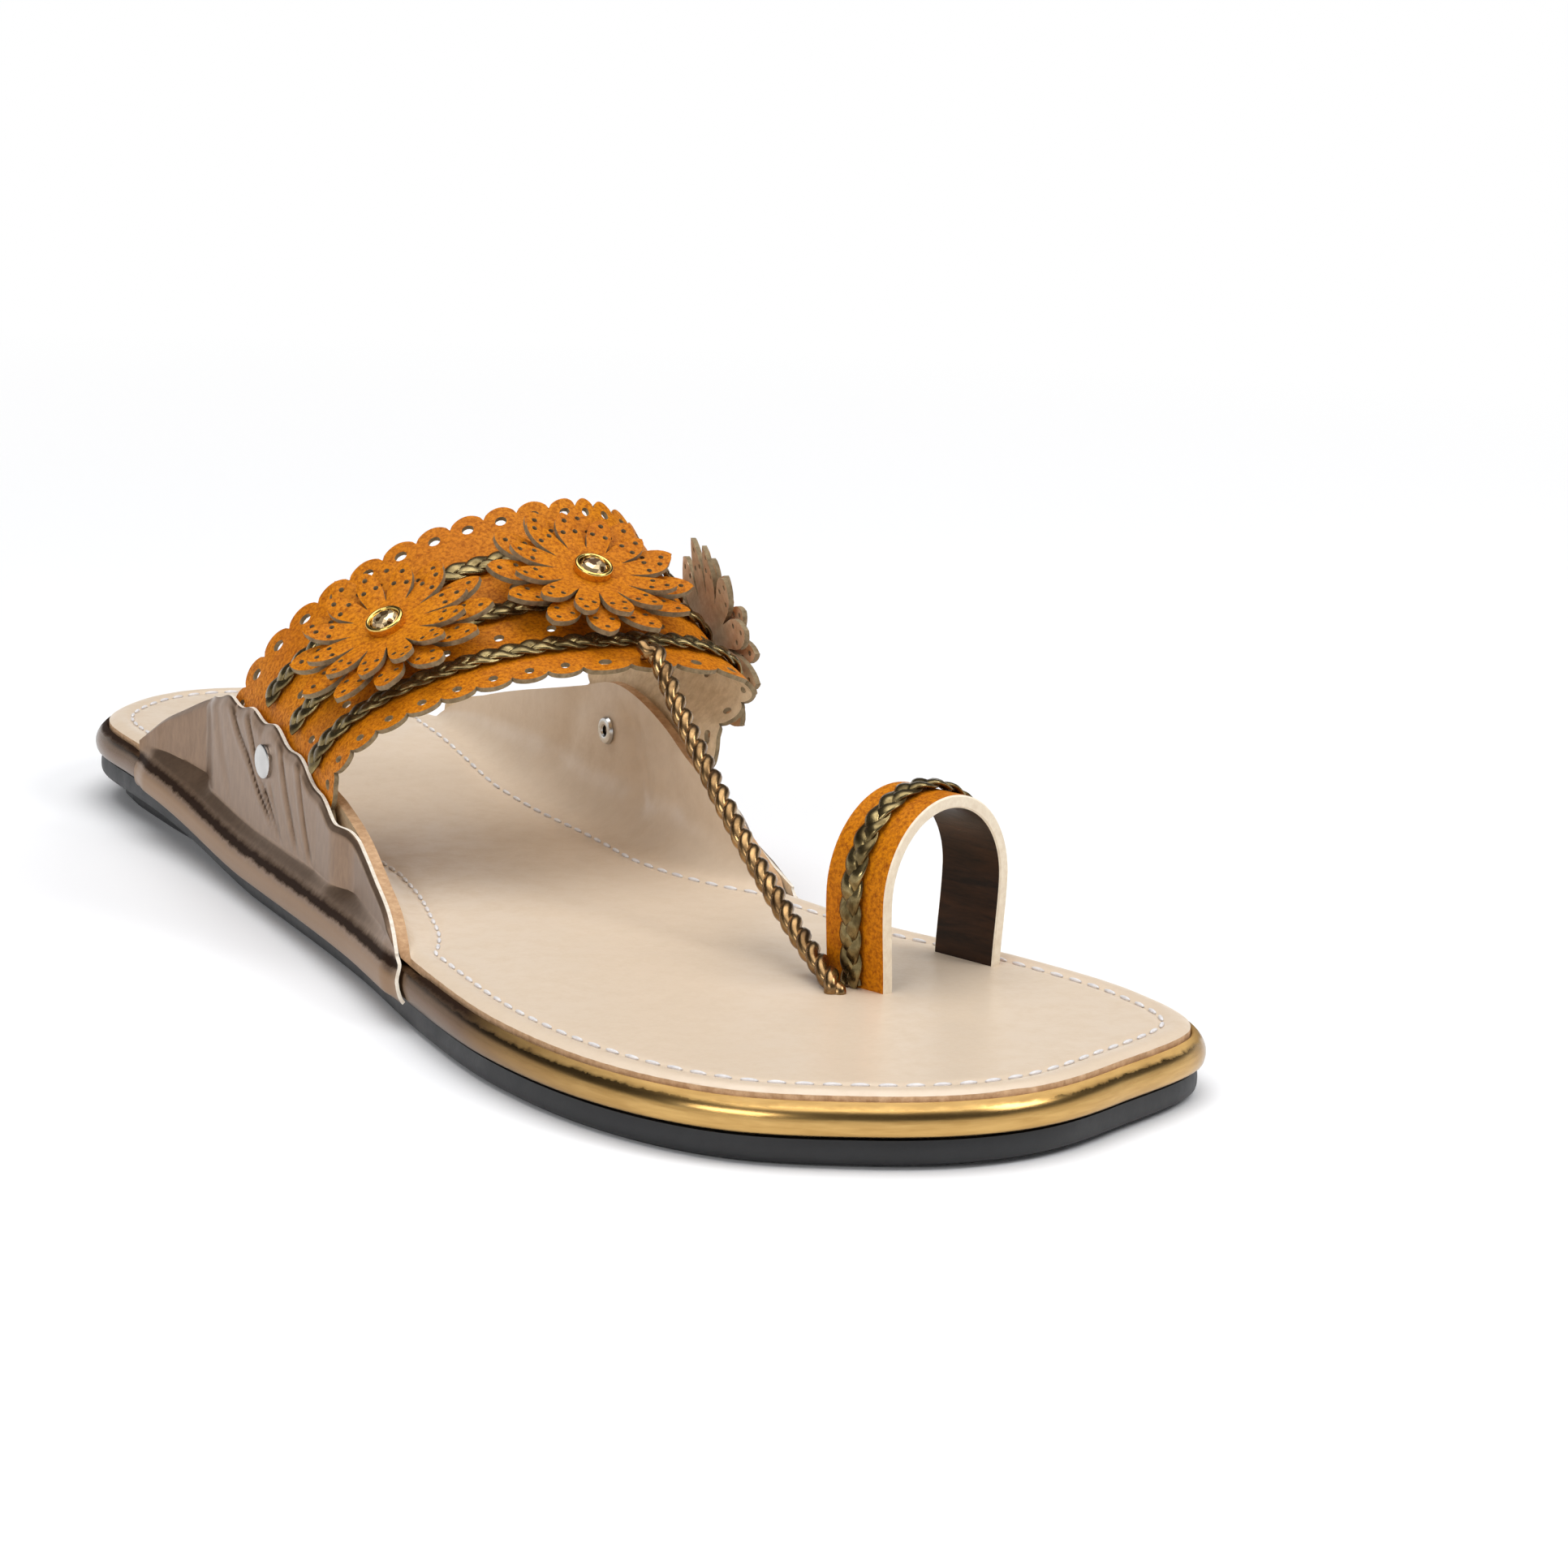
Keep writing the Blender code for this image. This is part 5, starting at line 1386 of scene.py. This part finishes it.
def dress_sole():
    """Rubber outsole, heel block and the bronze rand."""
    thickness = OUTSOLE_THICKNESS - GAP / 2
    rounded = smooth_section(((0.0, 0.0),) + OUTSOLE_SECTION[1:], 10)
    outsole = sole_layer("outsole_rubber", rounded, 0.0, thickness, OUTSOLE_PROUD, [RUBBER])
    finish_piece(outsole, "rubber", "outsole")
    rand = sole_layer("rand_leather", smooth_section(RAND_ROLL, 26), RAND_BOTTOM, RAND_TOP - RAND_BOTTOM,
                      RAND_PROUD, [RAND_BRONZE])
    mark(rand, "fold_height", height_over_insole)
    finish_piece(rand, "bronze_rand", "rand")
    block = frame["nodes"]["heel_block"]
    block.data.materials.clear()
    block.data.materials.append(RUBBER)


# Insole and its stitching

EDGE_POINTS = np.array(outline_ring(3000, 0.0))


def edge_distance(across, along):
    """Distance from a place on the insole to its outline."""
    return float(np.min(np.hypot(EDGE_POINTS[:, 0] - across, EDGE_POINTS[:, 1] - along)))


def stitch_inset(side, along):
    """How far inside the insole's edge the stitching runs; along an ear it follows the fold."""
    full = ear_fullness(side, along)
    fold = EAR_FILLET + EAR_INSET[side] + FOLD_TO_STITCH
    return STITCH_INSET * (1 - full) + fold * full


def ear_dent(side, along, rise):
    """Soft hollows in the ear's face behind and in front of the rivet."""
    dent = 0.0
    for reach, slope, depth, spread in EAR_DENTS:
        middle = RIVET_ALONG + (reach + slope * (EAR_HEIGHT[side] - rise) / MM) * MM
        dent += depth * MM * math.exp(-((along - middle) / (spread * MM)) ** 2)
    return dent * smoothstep(*EAR_DENT_START, rise) * (1 - smoothstep(*EAR_DENT_END, rise))


def insole_top(a, b):
    """Upper face of the insole, with its padded edge, stitch groove and the ears' soft dents."""
    point = insole_surface(a, b)
    side = LATERAL if b < 0.5 else MEDIAL
    across, along = point.x - SHIFT_ACROSS, INSOLE_LENGTH / 2 - point.y
    full = ear_fullness(side, along)
    rise = point.z - INSOLE_TOP - sole_lift(along)
    flat_below, upright_above = 2 * MM, 0.5 * MM
    if rise < flat_below:
        inward = full * (half_width(side, along) - side * across)
        inward += (1 - full) * edge_distance(across, along)
        away = (inward - stitch_inset(side, along)) / STITCH_GROOVE_WIDTH
        swell = (inward - 0.5 * STITCH_INSET) / EDGE_SWELL_WIDTH
        roll = max(1 - inward / EDGE_ROLL, 0.0)
        point.z -= STITCH_GROOVE * math.exp(-away * away)
        point.z += (1 - full) * (EDGE_SWELL * math.exp(-swell * swell) - EDGE_DROP * roll * roll)
    if rise > upright_above:
        point.x += side * ear_dent(side, along, rise)
    return point


def dress_insole():
    """Cream insole with folded ears, a puffy edge and a stitch groove."""
    left = [INSOLE_EAR_PART * share for share in shares(38)]
    between = (0.007, 0.016, 0.03, 0.055, 0.1, 0.18, 0.3, 0.42, 0.5)
    middle = [INSOLE_EAR_PART + (1 - 2 * INSOLE_EAR_PART) * share for share in between]
    columns = left + middle + [1 - b for b in reversed(middle[:-1])] + [1 - b for b in reversed(left)]
    rows = shares(300)
    top, _ = grid_points(insole_top, rows, columns)
    plain, normals = grid_points(insole_surface, rows, columns)
    bottom = plain - normals * INSOLE_THICKNESS
    insole = thick_grid("insole_leather", bottom, top, [CREAM, INSOLE_EDGE, SUEDE], 55.0)
    finish_piece(insole, "cream_leather", "insole")


def stitch_line():
    """Points of the stitching all round the insole, at an even pitch."""
    count, path = 400, []
    for index, (across, along) in enumerate(outline_ring(count, -STITCH_INSET)):
        side = LATERAL if index <= count else MEDIAL
        path.append(on_insole(across - side * (stitch_inset(side, along) - STITCH_INSET), along, 0.0))
    path.append(path[0])
    return spread_points(path, int(run_lengths(path)[-1] / STITCH_PITCH))[:-1]


def dress_stitches():
    """Silver white stitches, each dipping a little into the groove."""
    points = stitch_line()
    neighbours = zip(points[-1:] + points, points[1:] + points[:1])
    heading = [(after - before).normalized() for before, after in neighbours]
    low = Vector((0, 0, STITCH_SEAT - STITCH_GROOVE))
    values = {"Length": STITCH_LENGTH, "Thickness": STITCH_THICKNESS, "Material": THREAD}
    attributes = {"heading": heading, "up_axis": [(0.0, 0.0, 1.0)] * len(points)}
    item = grow("insole_stitches", [p + low for p in points], [], attributes, STITCH_TREE, values)
    finish_piece(item, "cream_leather")


# Ear covers and rivets

def cover_crease(along, height, top):
    """Depth of the veins that run down a cover from its edge to the fold over the rand."""
    lean_bend, ridge, ridge_behind = 1.3, 0.45, 1.7
    foot_fade, edge_fade = (0.08, 0.3), (0.86, 1.0)
    share = min(height / max(top, 1e-6), 1.0)
    depth = 0.0
    for start, lean, deep, width in COVER_VEINS:
        middle = (start + lean * (1 - share) ** lean_bend) * MM
        lip = (along - middle) / (width * MM)
        depth += deep * MM * (math.exp(-lip * lip) - ridge * math.exp(-((lip + ridge_behind) ** 2)))
    return depth * smoothstep(*foot_fade, share) * (1 - smoothstep(*edge_fade, share))


def vein_depth(side, point):
    """Depth of the veins at a point of a cover, none under the rivet's head."""
    along = INSOLE_LENGTH / 2 - point.y
    height = height_over_insole(point)
    if height <= 0:
        return 0.0
    away = math.hypot(along - RIVET_ALONG, height - RIVET_HEIGHT[side]) / RIVET_CLEARING
    return cover_crease(along, height, cover_height(side, along)) * smoothstep(*VEIN_PAST_RIVET, away)


def creased_cover(side):
    """Inner face of a cover with its veins pressed in."""
    plain = cover_surface(side)

    def surface(a, b):
        point = plain(a, b)
        point.x -= side * vein_depth(side, point)
        return point

    return surface


def cover_thickness(a, b):
    """Thickness of a cover, skived thin towards all its edges."""
    inward = smoothstep(0.0, SKIVED_PART, min(b, 1 - b)) * smoothstep(0.0, SKIVED_PART, min(a, 1 - a))
    return COVER_THICKNESS * (SKIVED_SHARE + (1 - SKIVED_SHARE) * inward)


def dress_covers():
    """Bronze covers with a white cut edge; gives each rivet's axis and how far out its head sits."""
    rows, columns = shares(360), shares(60)
    seats = {}
    for side, word in SIDES:
        points, normals = grid_points(creased_cover(side), rows, columns)
        thickness = np.array([[cover_thickness(a, b) for b in columns] for a in rows])
        outward = normals * (thickness if side == LATERAL else -thickness)[..., None]
        materials = [COVER, WHITE_EDGE, SUEDE]
        cover = thick_grid("cover_leather_" + word, points, points + outward, materials, 75.0)
        mark(cover, "fold_height", height_over_insole)
        # The veins' depth, for the material's painted shade in the creases
        mark(cover, "vein", lambda point: vein_depth(side, point) / VEIN_FULL)
        finish_piece(cover, "bronze_leather", "ear_cover_" + word)
        centre = np.array(rivet_place(side))
        under = np.hypot(points[..., 1] - centre[1], points[..., 2] - centre[2]) < RIVET_HEAD_RADIUS
        axis = Vector(outward[under].mean(axis=0) * (1, 0, 1)).normalized()
        seats[side] = (axis, float(((points + outward)[under] - centre).dot(np.array(axis)).max()))
    return seats


def dress_rivets(seats):
    """Flat silver heads outside and hollow rolled ends inside."""
    shank = RIVET_BORE_RADIUS + 0.4 * MM
    for side, word in SIDES:
        axis, head = seats[side]
        foot = -GAP
        profile = (
            (0.0, foot + 1.2 * MM),
            (RIVET_BORE_RADIUS, foot + 1.2 * MM),
            (RIVET_BORE_RADIUS, foot - 0.25 * MM),
            (RIVET_BORE_RADIUS + 0.2 * MM, foot - 0.8 * RIVET_FLANGE_HEIGHT),
            (0.5 * (RIVET_BORE_RADIUS + RIVET_FLANGE_RADIUS), foot - RIVET_FLANGE_HEIGHT),
            (0.9 * RIVET_FLANGE_RADIUS, foot - 0.75 * RIVET_FLANGE_HEIGHT),
            (RIVET_FLANGE_RADIUS, foot),
            (shank, foot + 0.2 * MM),
            (shank, head),
            (RIVET_HEAD_RADIUS, head),
            (RIVET_HEAD_RADIUS, head + 0.6 * RIVET_DISC),
            (0.95 * RIVET_HEAD_RADIUS, head + 0.88 * RIVET_DISC),
            (0.85 * RIVET_HEAD_RADIUS, head + RIVET_DISC),
            (0.0, head + RIVET_DISC),
        )
        # The bore's floor and wall take the painted shade
        bore_steps = 2
        zones = [1] * bore_steps + [0] * (len(profile) - 1 - bore_steps)
        rivet = lathe("rivet_cap_" + word, profile, rivet_place(side), axis, zones, [SILVER, BORE_PAINTED_SHADE])
        finish_piece(rivet, "silver_metal", "rivet_" + word)


# Instep band

def band_edges(a):
    """Shares across the band where its scalloped rear and front edges lie."""
    depth = SCALLOP_DEPTH / (BAND_FRONT - BAND_REAR)
    rear = depth * (1 - edge_reach(a, SCALLOPS_REAR))
    front = 1 - depth * (1 - edge_reach(a, SCALLOPS_FRONT))
    return rear, front


def measure_band():
    """Length of the band over its crown and its width, the scale of its flat cutting."""
    length = run_lengths([band_surface(share, 0.5) for share in shares(200)])[-1]
    return length, (band_surface(0.5, 1.0) - band_surface(0.5, 0.0)).length


def dress_band():
    """Scalloped orange band with a punched hole in each scallop and rows of holes between the braids."""
    length, width = measure_band()

    def inside(x, y):
        rear, front = band_edges(x / length)
        return 0 <= x <= length and rear * width <= y <= front * width

    ends = (0.2, 0.4, 0.6, 0.8)
    outline = [(a * length, band_edges(a)[0] * width) for a in shares(12 * SCALLOPS_REAR)]
    outline += [(length, share * width) for share in ends]
    outline += [(a * length, band_edges(a)[1] * width) for a in reversed(shares(12 * SCALLOPS_FRONT))]
    outline += [(0.0, share * width) for share in reversed(ends)]
    rims = ((SCALLOPS_REAR, BAND_HOLE_INSET), (SCALLOPS_FRONT, width - BAND_HOLE_INSET))
    holes = [((k + 0.5) / scallops * length, y, BAND_HOLE_RADIUS)
             for scallops, y in rims for k in range(scallops)]
    between = [(BRAIDS[k][1] + BRAIDS[k + 1][1]) / 2 for k in range(2)]
    count = int(length / BAND_HOLE_PITCH)
    for row, across in enumerate(between):
        for k in range(1, count):
            holes.append(((k + 0.25 + 0.5 * row) * length / count, across * width, BAND_HOLE_RADIUS))
    flat, triangles = cut_flat(outline, holes, BAND_FILL, inside)

    def lifted(x, y, height):
        a = min(max(x / length, 2e-4), 1 - 2e-4)
        point, _, normal = band_frame(a, y / width, 0.0)
        return point - normal * (BAND_LEATHER - height)

    band = leather_cutting("band_leather", flat, triangles, lifted, BAND_LEATHER, [ORANGE, CUT_EDGE, SUEDE])
    finish_piece(band, "orange_leather", "instep_band")


def plait(name, line, solid):
    """Flat three-strand plait of gold strips along a line, in place of a braid's solid."""
    values = {"Sway": PLAIT_SWAY, "Rise": PLAIT_RISE, "Pitch": PLAIT_PITCH,
              "Rise Beats": 2.0, "Rise Lead": 0.0, "Material": PLAIT_GOLD,
              "Strand Width": PLAIT_STRAND[0], "Strand Thickness": PLAIT_STRAND[1]}
    finish_piece(woven(name, line, 3, values), "antique_gold", solid)


def dress_braids():
    """Plaited gold strips along the band."""
    for name, across in BRAIDS:
        first, last = braid_range(across)
        line = []
        for share in shares(340):
            point, tangent, normal = band_frame(first + share * (last - first), across, PLAIT_LIFT)
            line.append((point, normal.cross(tangent), normal))
        plait("plait_" + name.split("_")[1], line, name)


# Flowers and gems

def petal_width(share):
    """Width of a petal as a share of its sector, from its root to its tip."""
    waist, waist_place, tip_bend, tip_round = 0.07, 0.2, 2.6, 0.66
    return (1 - waist * min(share / waist_place, 1.0)) * max(1 - share ** tip_bend, 0.0) ** tip_round


def petal_share(radius, reach):
    """How far a radius lies from the petals' root (0) to their tip (1)."""
    return (radius / reach - PETAL_ROOT) / (1 - PETAL_ROOT)


def petal_radius(share, reach):
    """Radius at a share of the way from the petals' root to their tip."""
    return reach * (PETAL_ROOT + share * (1 - PETAL_ROOT))


def petal_turn(radius, share):
    """Half the angle that a petal spans, less its part of the slit beside it."""
    slit = PETAL_SLIT / radius + PETAL_OPENING * share
    return PETAL_HALF * petal_width(share) - slit * (share > 0)


def flower_outline(reach):
    """Outline of a ring of petals, cut from one round of leather."""
    outline = []
    steps = (0.0, 0.08, 0.2, 0.35, 0.5, 0.64, 0.76, 0.86, 0.93, 0.98, 1.0)
    walk = [(share, -1) for share in steps[:-1]] + [(share, 1) for share in reversed(steps)][:-1]
    for middle in PETAL_MIDDLES:
        for share, side in walk:
            radius = petal_radius(share, reach)
            turn = middle + side * petal_turn(radius, share)
            outline.append((radius * math.cos(turn), radius * math.sin(turn)))
    return outline


def dress_flower_layer(word, layer, frame_axes, reach, offset, phase):
    """One layer of petals with three punched holes in each."""
    chooser = random.Random(word + layer)
    lifts = [chooser.uniform(-0.35, 0.5) * MM for _ in PETAL_MIDDLES]
    twists = [chooser.uniform(-0.5, 0.5) * MM for _ in PETAL_MIDDLES]

    def inside(x, y):
        radius, turn = math.hypot(x, y), math.atan2(y, x) % (2 * PETAL_HALF)
        share = petal_share(radius, reach)
        return share <= 0 or (share < 1 and abs(turn - PETAL_HALF) < petal_turn(radius, share))

    holes = []
    for middle in PETAL_MIDDLES:
        for share, aside in PETAL_HOLES:
            radius = petal_radius(share, reach)
            turn = middle + aside * PETAL_HALF * petal_width(share)
            holes.append((radius * math.cos(turn), radius * math.sin(turn), PETAL_HOLE_RADIUS))
    flat, triangles = cut_flat(flower_outline(reach), holes, PETAL_FILL, inside)

    def lifted(x, y, height):
        radius, turn = math.hypot(x, y), math.atan2(y, x)
        share = max(petal_share(radius, reach), 0.0)
        petal = int((turn % math.tau) / (2 * PETAL_HALF)) % FLOWER_PETALS
        aside = (turn % (2 * PETAL_HALF)) / PETAL_HALF - 1
        extra = share * share * (lifts[petal] + twists[petal] * aside) - PETAL_CUP * aside * aside * share
        return on_flower(frame_axes, radius, turn + phase, offset + height + extra, reach)

    item = leather_cutting("petals_" + word + "_" + layer, flat, triangles, lifted, FLOWER_THICKNESS,
                           [ORANGE, CUT_EDGE, SUEDE], PETAL_BURNISH)
    finish_piece(item, "orange_leather", "flower_" + word + "_" + layer)


def crystal_mesh(name, centre, axis, radius, height):
    """Faceted round stone: a flat table, star facets and kites down to the girdle."""
    turn = Vector((0, 0, 1)).rotation_difference(axis)
    sides = 10
    rings = ((0.45, 1.0, 0.0), (0.74, 0.78, 0.5), (1.0, 0.35, 0.0), (1.0, 0.0, 0.0))
    verts = [round_point(share * radius, math.tau * (k + phase) / sides, level * height)
             for share, level, phase in rings for k in range(sides)]
    faces = [tuple(range(sides)), tuple(range(3 * sides, 4 * sides))]
    for k in range(sides):
        l = (k + 1) % sides
        faces += [(k, l, sides + k), (l, sides + l, sides + k), (sides + k, sides + l, 2 * sides + l),
                  (sides + k, 2 * sides + l, 2 * sides + k),
                  (2 * sides + k, 2 * sides + l, 3 * sides + l, 3 * sides + k)]
    return make_piece(name, [centre + turn @ v for v in verts], faces, [0] * len(faces), [CRYSTAL], 1.0)


def dress_flowers():
    """Two layers of petals, a gold rim and a crystal for each flower."""
    lower = BRAID_THICKNESS + 3 * GAP
    upper = lower + FLOWER_THICKNESS + GAP
    inner, half_rim = GEM_RADIUS - GEM_RIM, 0.5 * GEM_RIM
    floor, foot = 0.1 * MM, -0.3 * MM
    profile = [(0.0, foot), (GEM_RADIUS, foot)]
    profile += [(0.5 * (GEM_RADIUS + inner) + half_rim * math.cos(math.pi * share),
                 0.55 * GEM_HEIGHT + half_rim * math.sin(math.pi * share)) for share in shares(8)]
    profile += [(inner, floor), (0.0, floor)]
    for word, arch, across in FLOWERS:
        axes = flower_frame(band_place(arch), across)
        dress_flower_layer(word, "lower", axes, FLOWER_RADIUS_LOWER, lower, 0.0)
        dress_flower_layer(word, "upper", axes, FLOWER_RADIUS_UPPER, upper, PETAL_HALF)
        centre, _, normal = band_frame(band_place(arch), across, upper + FLOWER_THICKNESS + GAP)
        rim = lathe("gold_rim_" + word, profile, centre, normal, [0] * (len(profile) - 1), [RIM_GOLD])
        finish_piece(rim, "gold_metal", "gem_rim_" + word)
        seat = centre + normal * 0.12 * MM
        stone = crystal_mesh("crystal_" + word, seat, normal, inner - 0.02 * MM, GEM_HEIGHT)
        finish_piece(stone, "champagne_crystal", "gem_" + word)


# Toe loop and cord

def dress_toe_loop():
    """Toe loop: orange leather outside, dark lining inside, cream cut edges."""
    half, wall = LOOP_WIDTH / 2, LOOP_THICKNESS / 2
    soft = 0.22 * MM
    section = [(-half + soft, -wall, 2), (half - soft, -wall, 1), (half, -wall + soft, 1),
               (half, wall - soft, 1), (half - soft, wall, 0), (-half + soft, wall, 1),
               (-half, wall - soft, 1), (-half, -wall + soft, 1)]
    rows = shares(140)
    verts = [loop_point(share, y, n) for share in rows for y, n, _ in section]
    size = len(section)
    faces = [tuple(range(size)), tuple(range(len(verts) - size, len(verts)))] + tube_faces(len(rows), size)
    zones = [1, 1] + [zone for _, _, zone in section] * (len(rows) - 1)
    loop = make_piece("toe_loop_leather", verts, faces, zones, [ORANGE, LOOP_EDGE, LINING])
    finish_piece(loop, "orange_leather", "toe_loop")


def dress_loop_braid():
    """Plait over the middle of the toe loop."""
    foot = (INSOLE_THICKNESS + GAP) / LOOP_RUN
    _, ahead = loop_axes()
    line = []
    for share in shares(260):
        place_on_loop = foot + share * (1 - 2 * foot)
        point = loop_point(place_on_loop, 0.0, LOOP_THICKNESS / 2 + PLAIT_LIFT)
        up = point - loop_point(place_on_loop, 0.0, 0.0)
        line.append((point, ahead, up.normalized()))
    plait("plait_toe_loop", line, "toe_loop_braid")


def dress_cord():
    """Two-ply twisted cord from the band to the toe loop."""
    points = curve_through(cord_route(), 420)
    side = Vector((1, 0, 0))
    line = []
    for index, point in enumerate(points):
        ahead = (points[min(index + 1, len(points) - 1)] - points[max(index - 1, 0)]).normalized()
        up = side.cross(ahead).normalized()
        side = ahead.cross(up).normalized()
        line.append((point, side, up))
    ply = 0.5 * CORD_DIAMETER
    sway, strand = CORD_SWAY * ply, CORD_STRAND * ply
    values = {"Sway": sway, "Rise": sway, "Pitch": CORD_PITCH, "Rise Beats": 1.0, "Rise Lead": math.pi / 2,
              "Strand Width": strand, "Strand Thickness": strand, "Material": CORD_GOLD}
    finish_piece(woven("twisted_cord", line, 2, values), "twisted_gold", "t_cord")


# Camera, light and floor

def set_camera():
    """Camera at the photograph's angle to the sandal."""
    data = bpy.data.cameras.new("camera")
    data.lens, data.sensor_width = CAMERA_LENS, CAMERA_SENSOR
    data.shift_x, data.shift_y = CAMERA_SHIFT
    data.clip_start, data.clip_end = 0.05, 100.0
    camera = add_object("camera", data)
    forward = Vector((math.sin(CAMERA_AZIMUTH) * math.cos(CAMERA_DIP),
                      math.cos(CAMERA_AZIMUTH) * math.cos(CAMERA_DIP), -math.sin(CAMERA_DIP)))
    level = forward.cross(Vector((0, 0, 1))).normalized()
    up = level.cross(forward)
    right = level * math.cos(CAMERA_ROLL) + up * math.sin(CAMERA_ROLL)
    up = right.cross(forward)
    turn = Matrix((right, up, -forward)).transposed().to_4x4()
    camera.matrix_world = Matrix.Translation(Vector(CAMERA_PLACE) + Vector((SHIFT_ACROSS, 0, 0))) @ turn
    bpy.context.scene.camera = camera
    bpy.context.scene.view_settings.view_transform = "Standard"


def add_softbox(name, stands_at, aim, size, power):
    """Oblong area light aimed at a point."""
    data = bpy.data.lights.new(name, "AREA")
    data.shape = "RECTANGLE"
    data.size, data.size_y = size
    data.energy = power
    lamp = add_object(name, data)
    lamp.location = stands_at
    lamp.rotation_mode = "QUATERNION"
    lamp.rotation_quaternion = (Vector(aim) - Vector(stands_at)).to_track_quat("-Z", "Y")


def set_light():
    """White studio: a bright tent overhead, darker walls at the horizon, and soft boxes."""
    world = bpy.data.worlds.new("studio")
    bpy.context.scene.world = world
    world.use_nodes = True
    tree = world.node_tree
    background = tree.nodes["Background"]
    generated = tree.nodes.new("ShaderNodeTexCoord").outputs["Generated"]
    height = add_node(tree, "ShaderNodeSeparateXYZ", {"Vector": generated}).outputs["Z"]
    sky = GROUND_LIGHT
    for edge, blur, light in SKY_STEPS:
        sky = mix_colour(tree, ramp(tree, height, edge - blur, edge + blur), sky, light)
    set_shader(tree, background, Color=sky, Strength=1.0)
    seen = add_node(tree, "ShaderNodeBackground", {"Color": WHITE, "Strength": 1.0})
    from_camera = tree.nodes.new("ShaderNodeLightPath").outputs["Is Camera Ray"]
    blend = mix_shaders(tree, from_camera, background.outputs["Background"], seen.outputs["Background"])
    tree.links.new(blend, tree.nodes["World Output"].inputs["Surface"])
    for softbox in SOFTBOXES:
        add_softbox(*softbox)


def set_floor():
    """Pale floor that runs out to the horizon."""
    mesh = bpy.data.meshes.new("studio floor")
    corners = [(x * FLOOR_REACH, y * FLOOR_REACH, 0) for x, y in ((-1, -1), (1, -1), (1, 1), (-1, 1))]
    mesh.from_pydata(corners, [], [(0, 1, 2, 3)])
    material, tree, shader, coordinates = start_material("white floor", 0.7)
    set_shader(tree, shader, Base_Color=FLOOR_COLOUR)
    away = add_node(tree, "ShaderNodeVectorMath", {0: coordinates}, operation="LENGTH").outputs["Value"]
    glow = add_node(tree, "ShaderNodeEmission", {"Color": WHITE, "Strength": 1.0})
    fade = ramp(tree, away, *FLOOR_FADE)
    blend = mix_shaders(tree, fade, shader.outputs["BSDF"], glow.outputs["Emission"])
    tree.links.new(blend, tree.nodes["Material Output"].inputs["Surface"])
    mesh.materials.append(material)
    floor = add_object("studio floor", mesh)
    floor.location.z = -0.1 * MM


dress_sole()
dress_insole()
dress_stitches()
dress_rivets(dress_covers())
dress_band()
dress_braids()
dress_flowers()
dress_toe_loop()
dress_loop_braid()
dress_cord()
set_camera()
set_light()
set_floor()
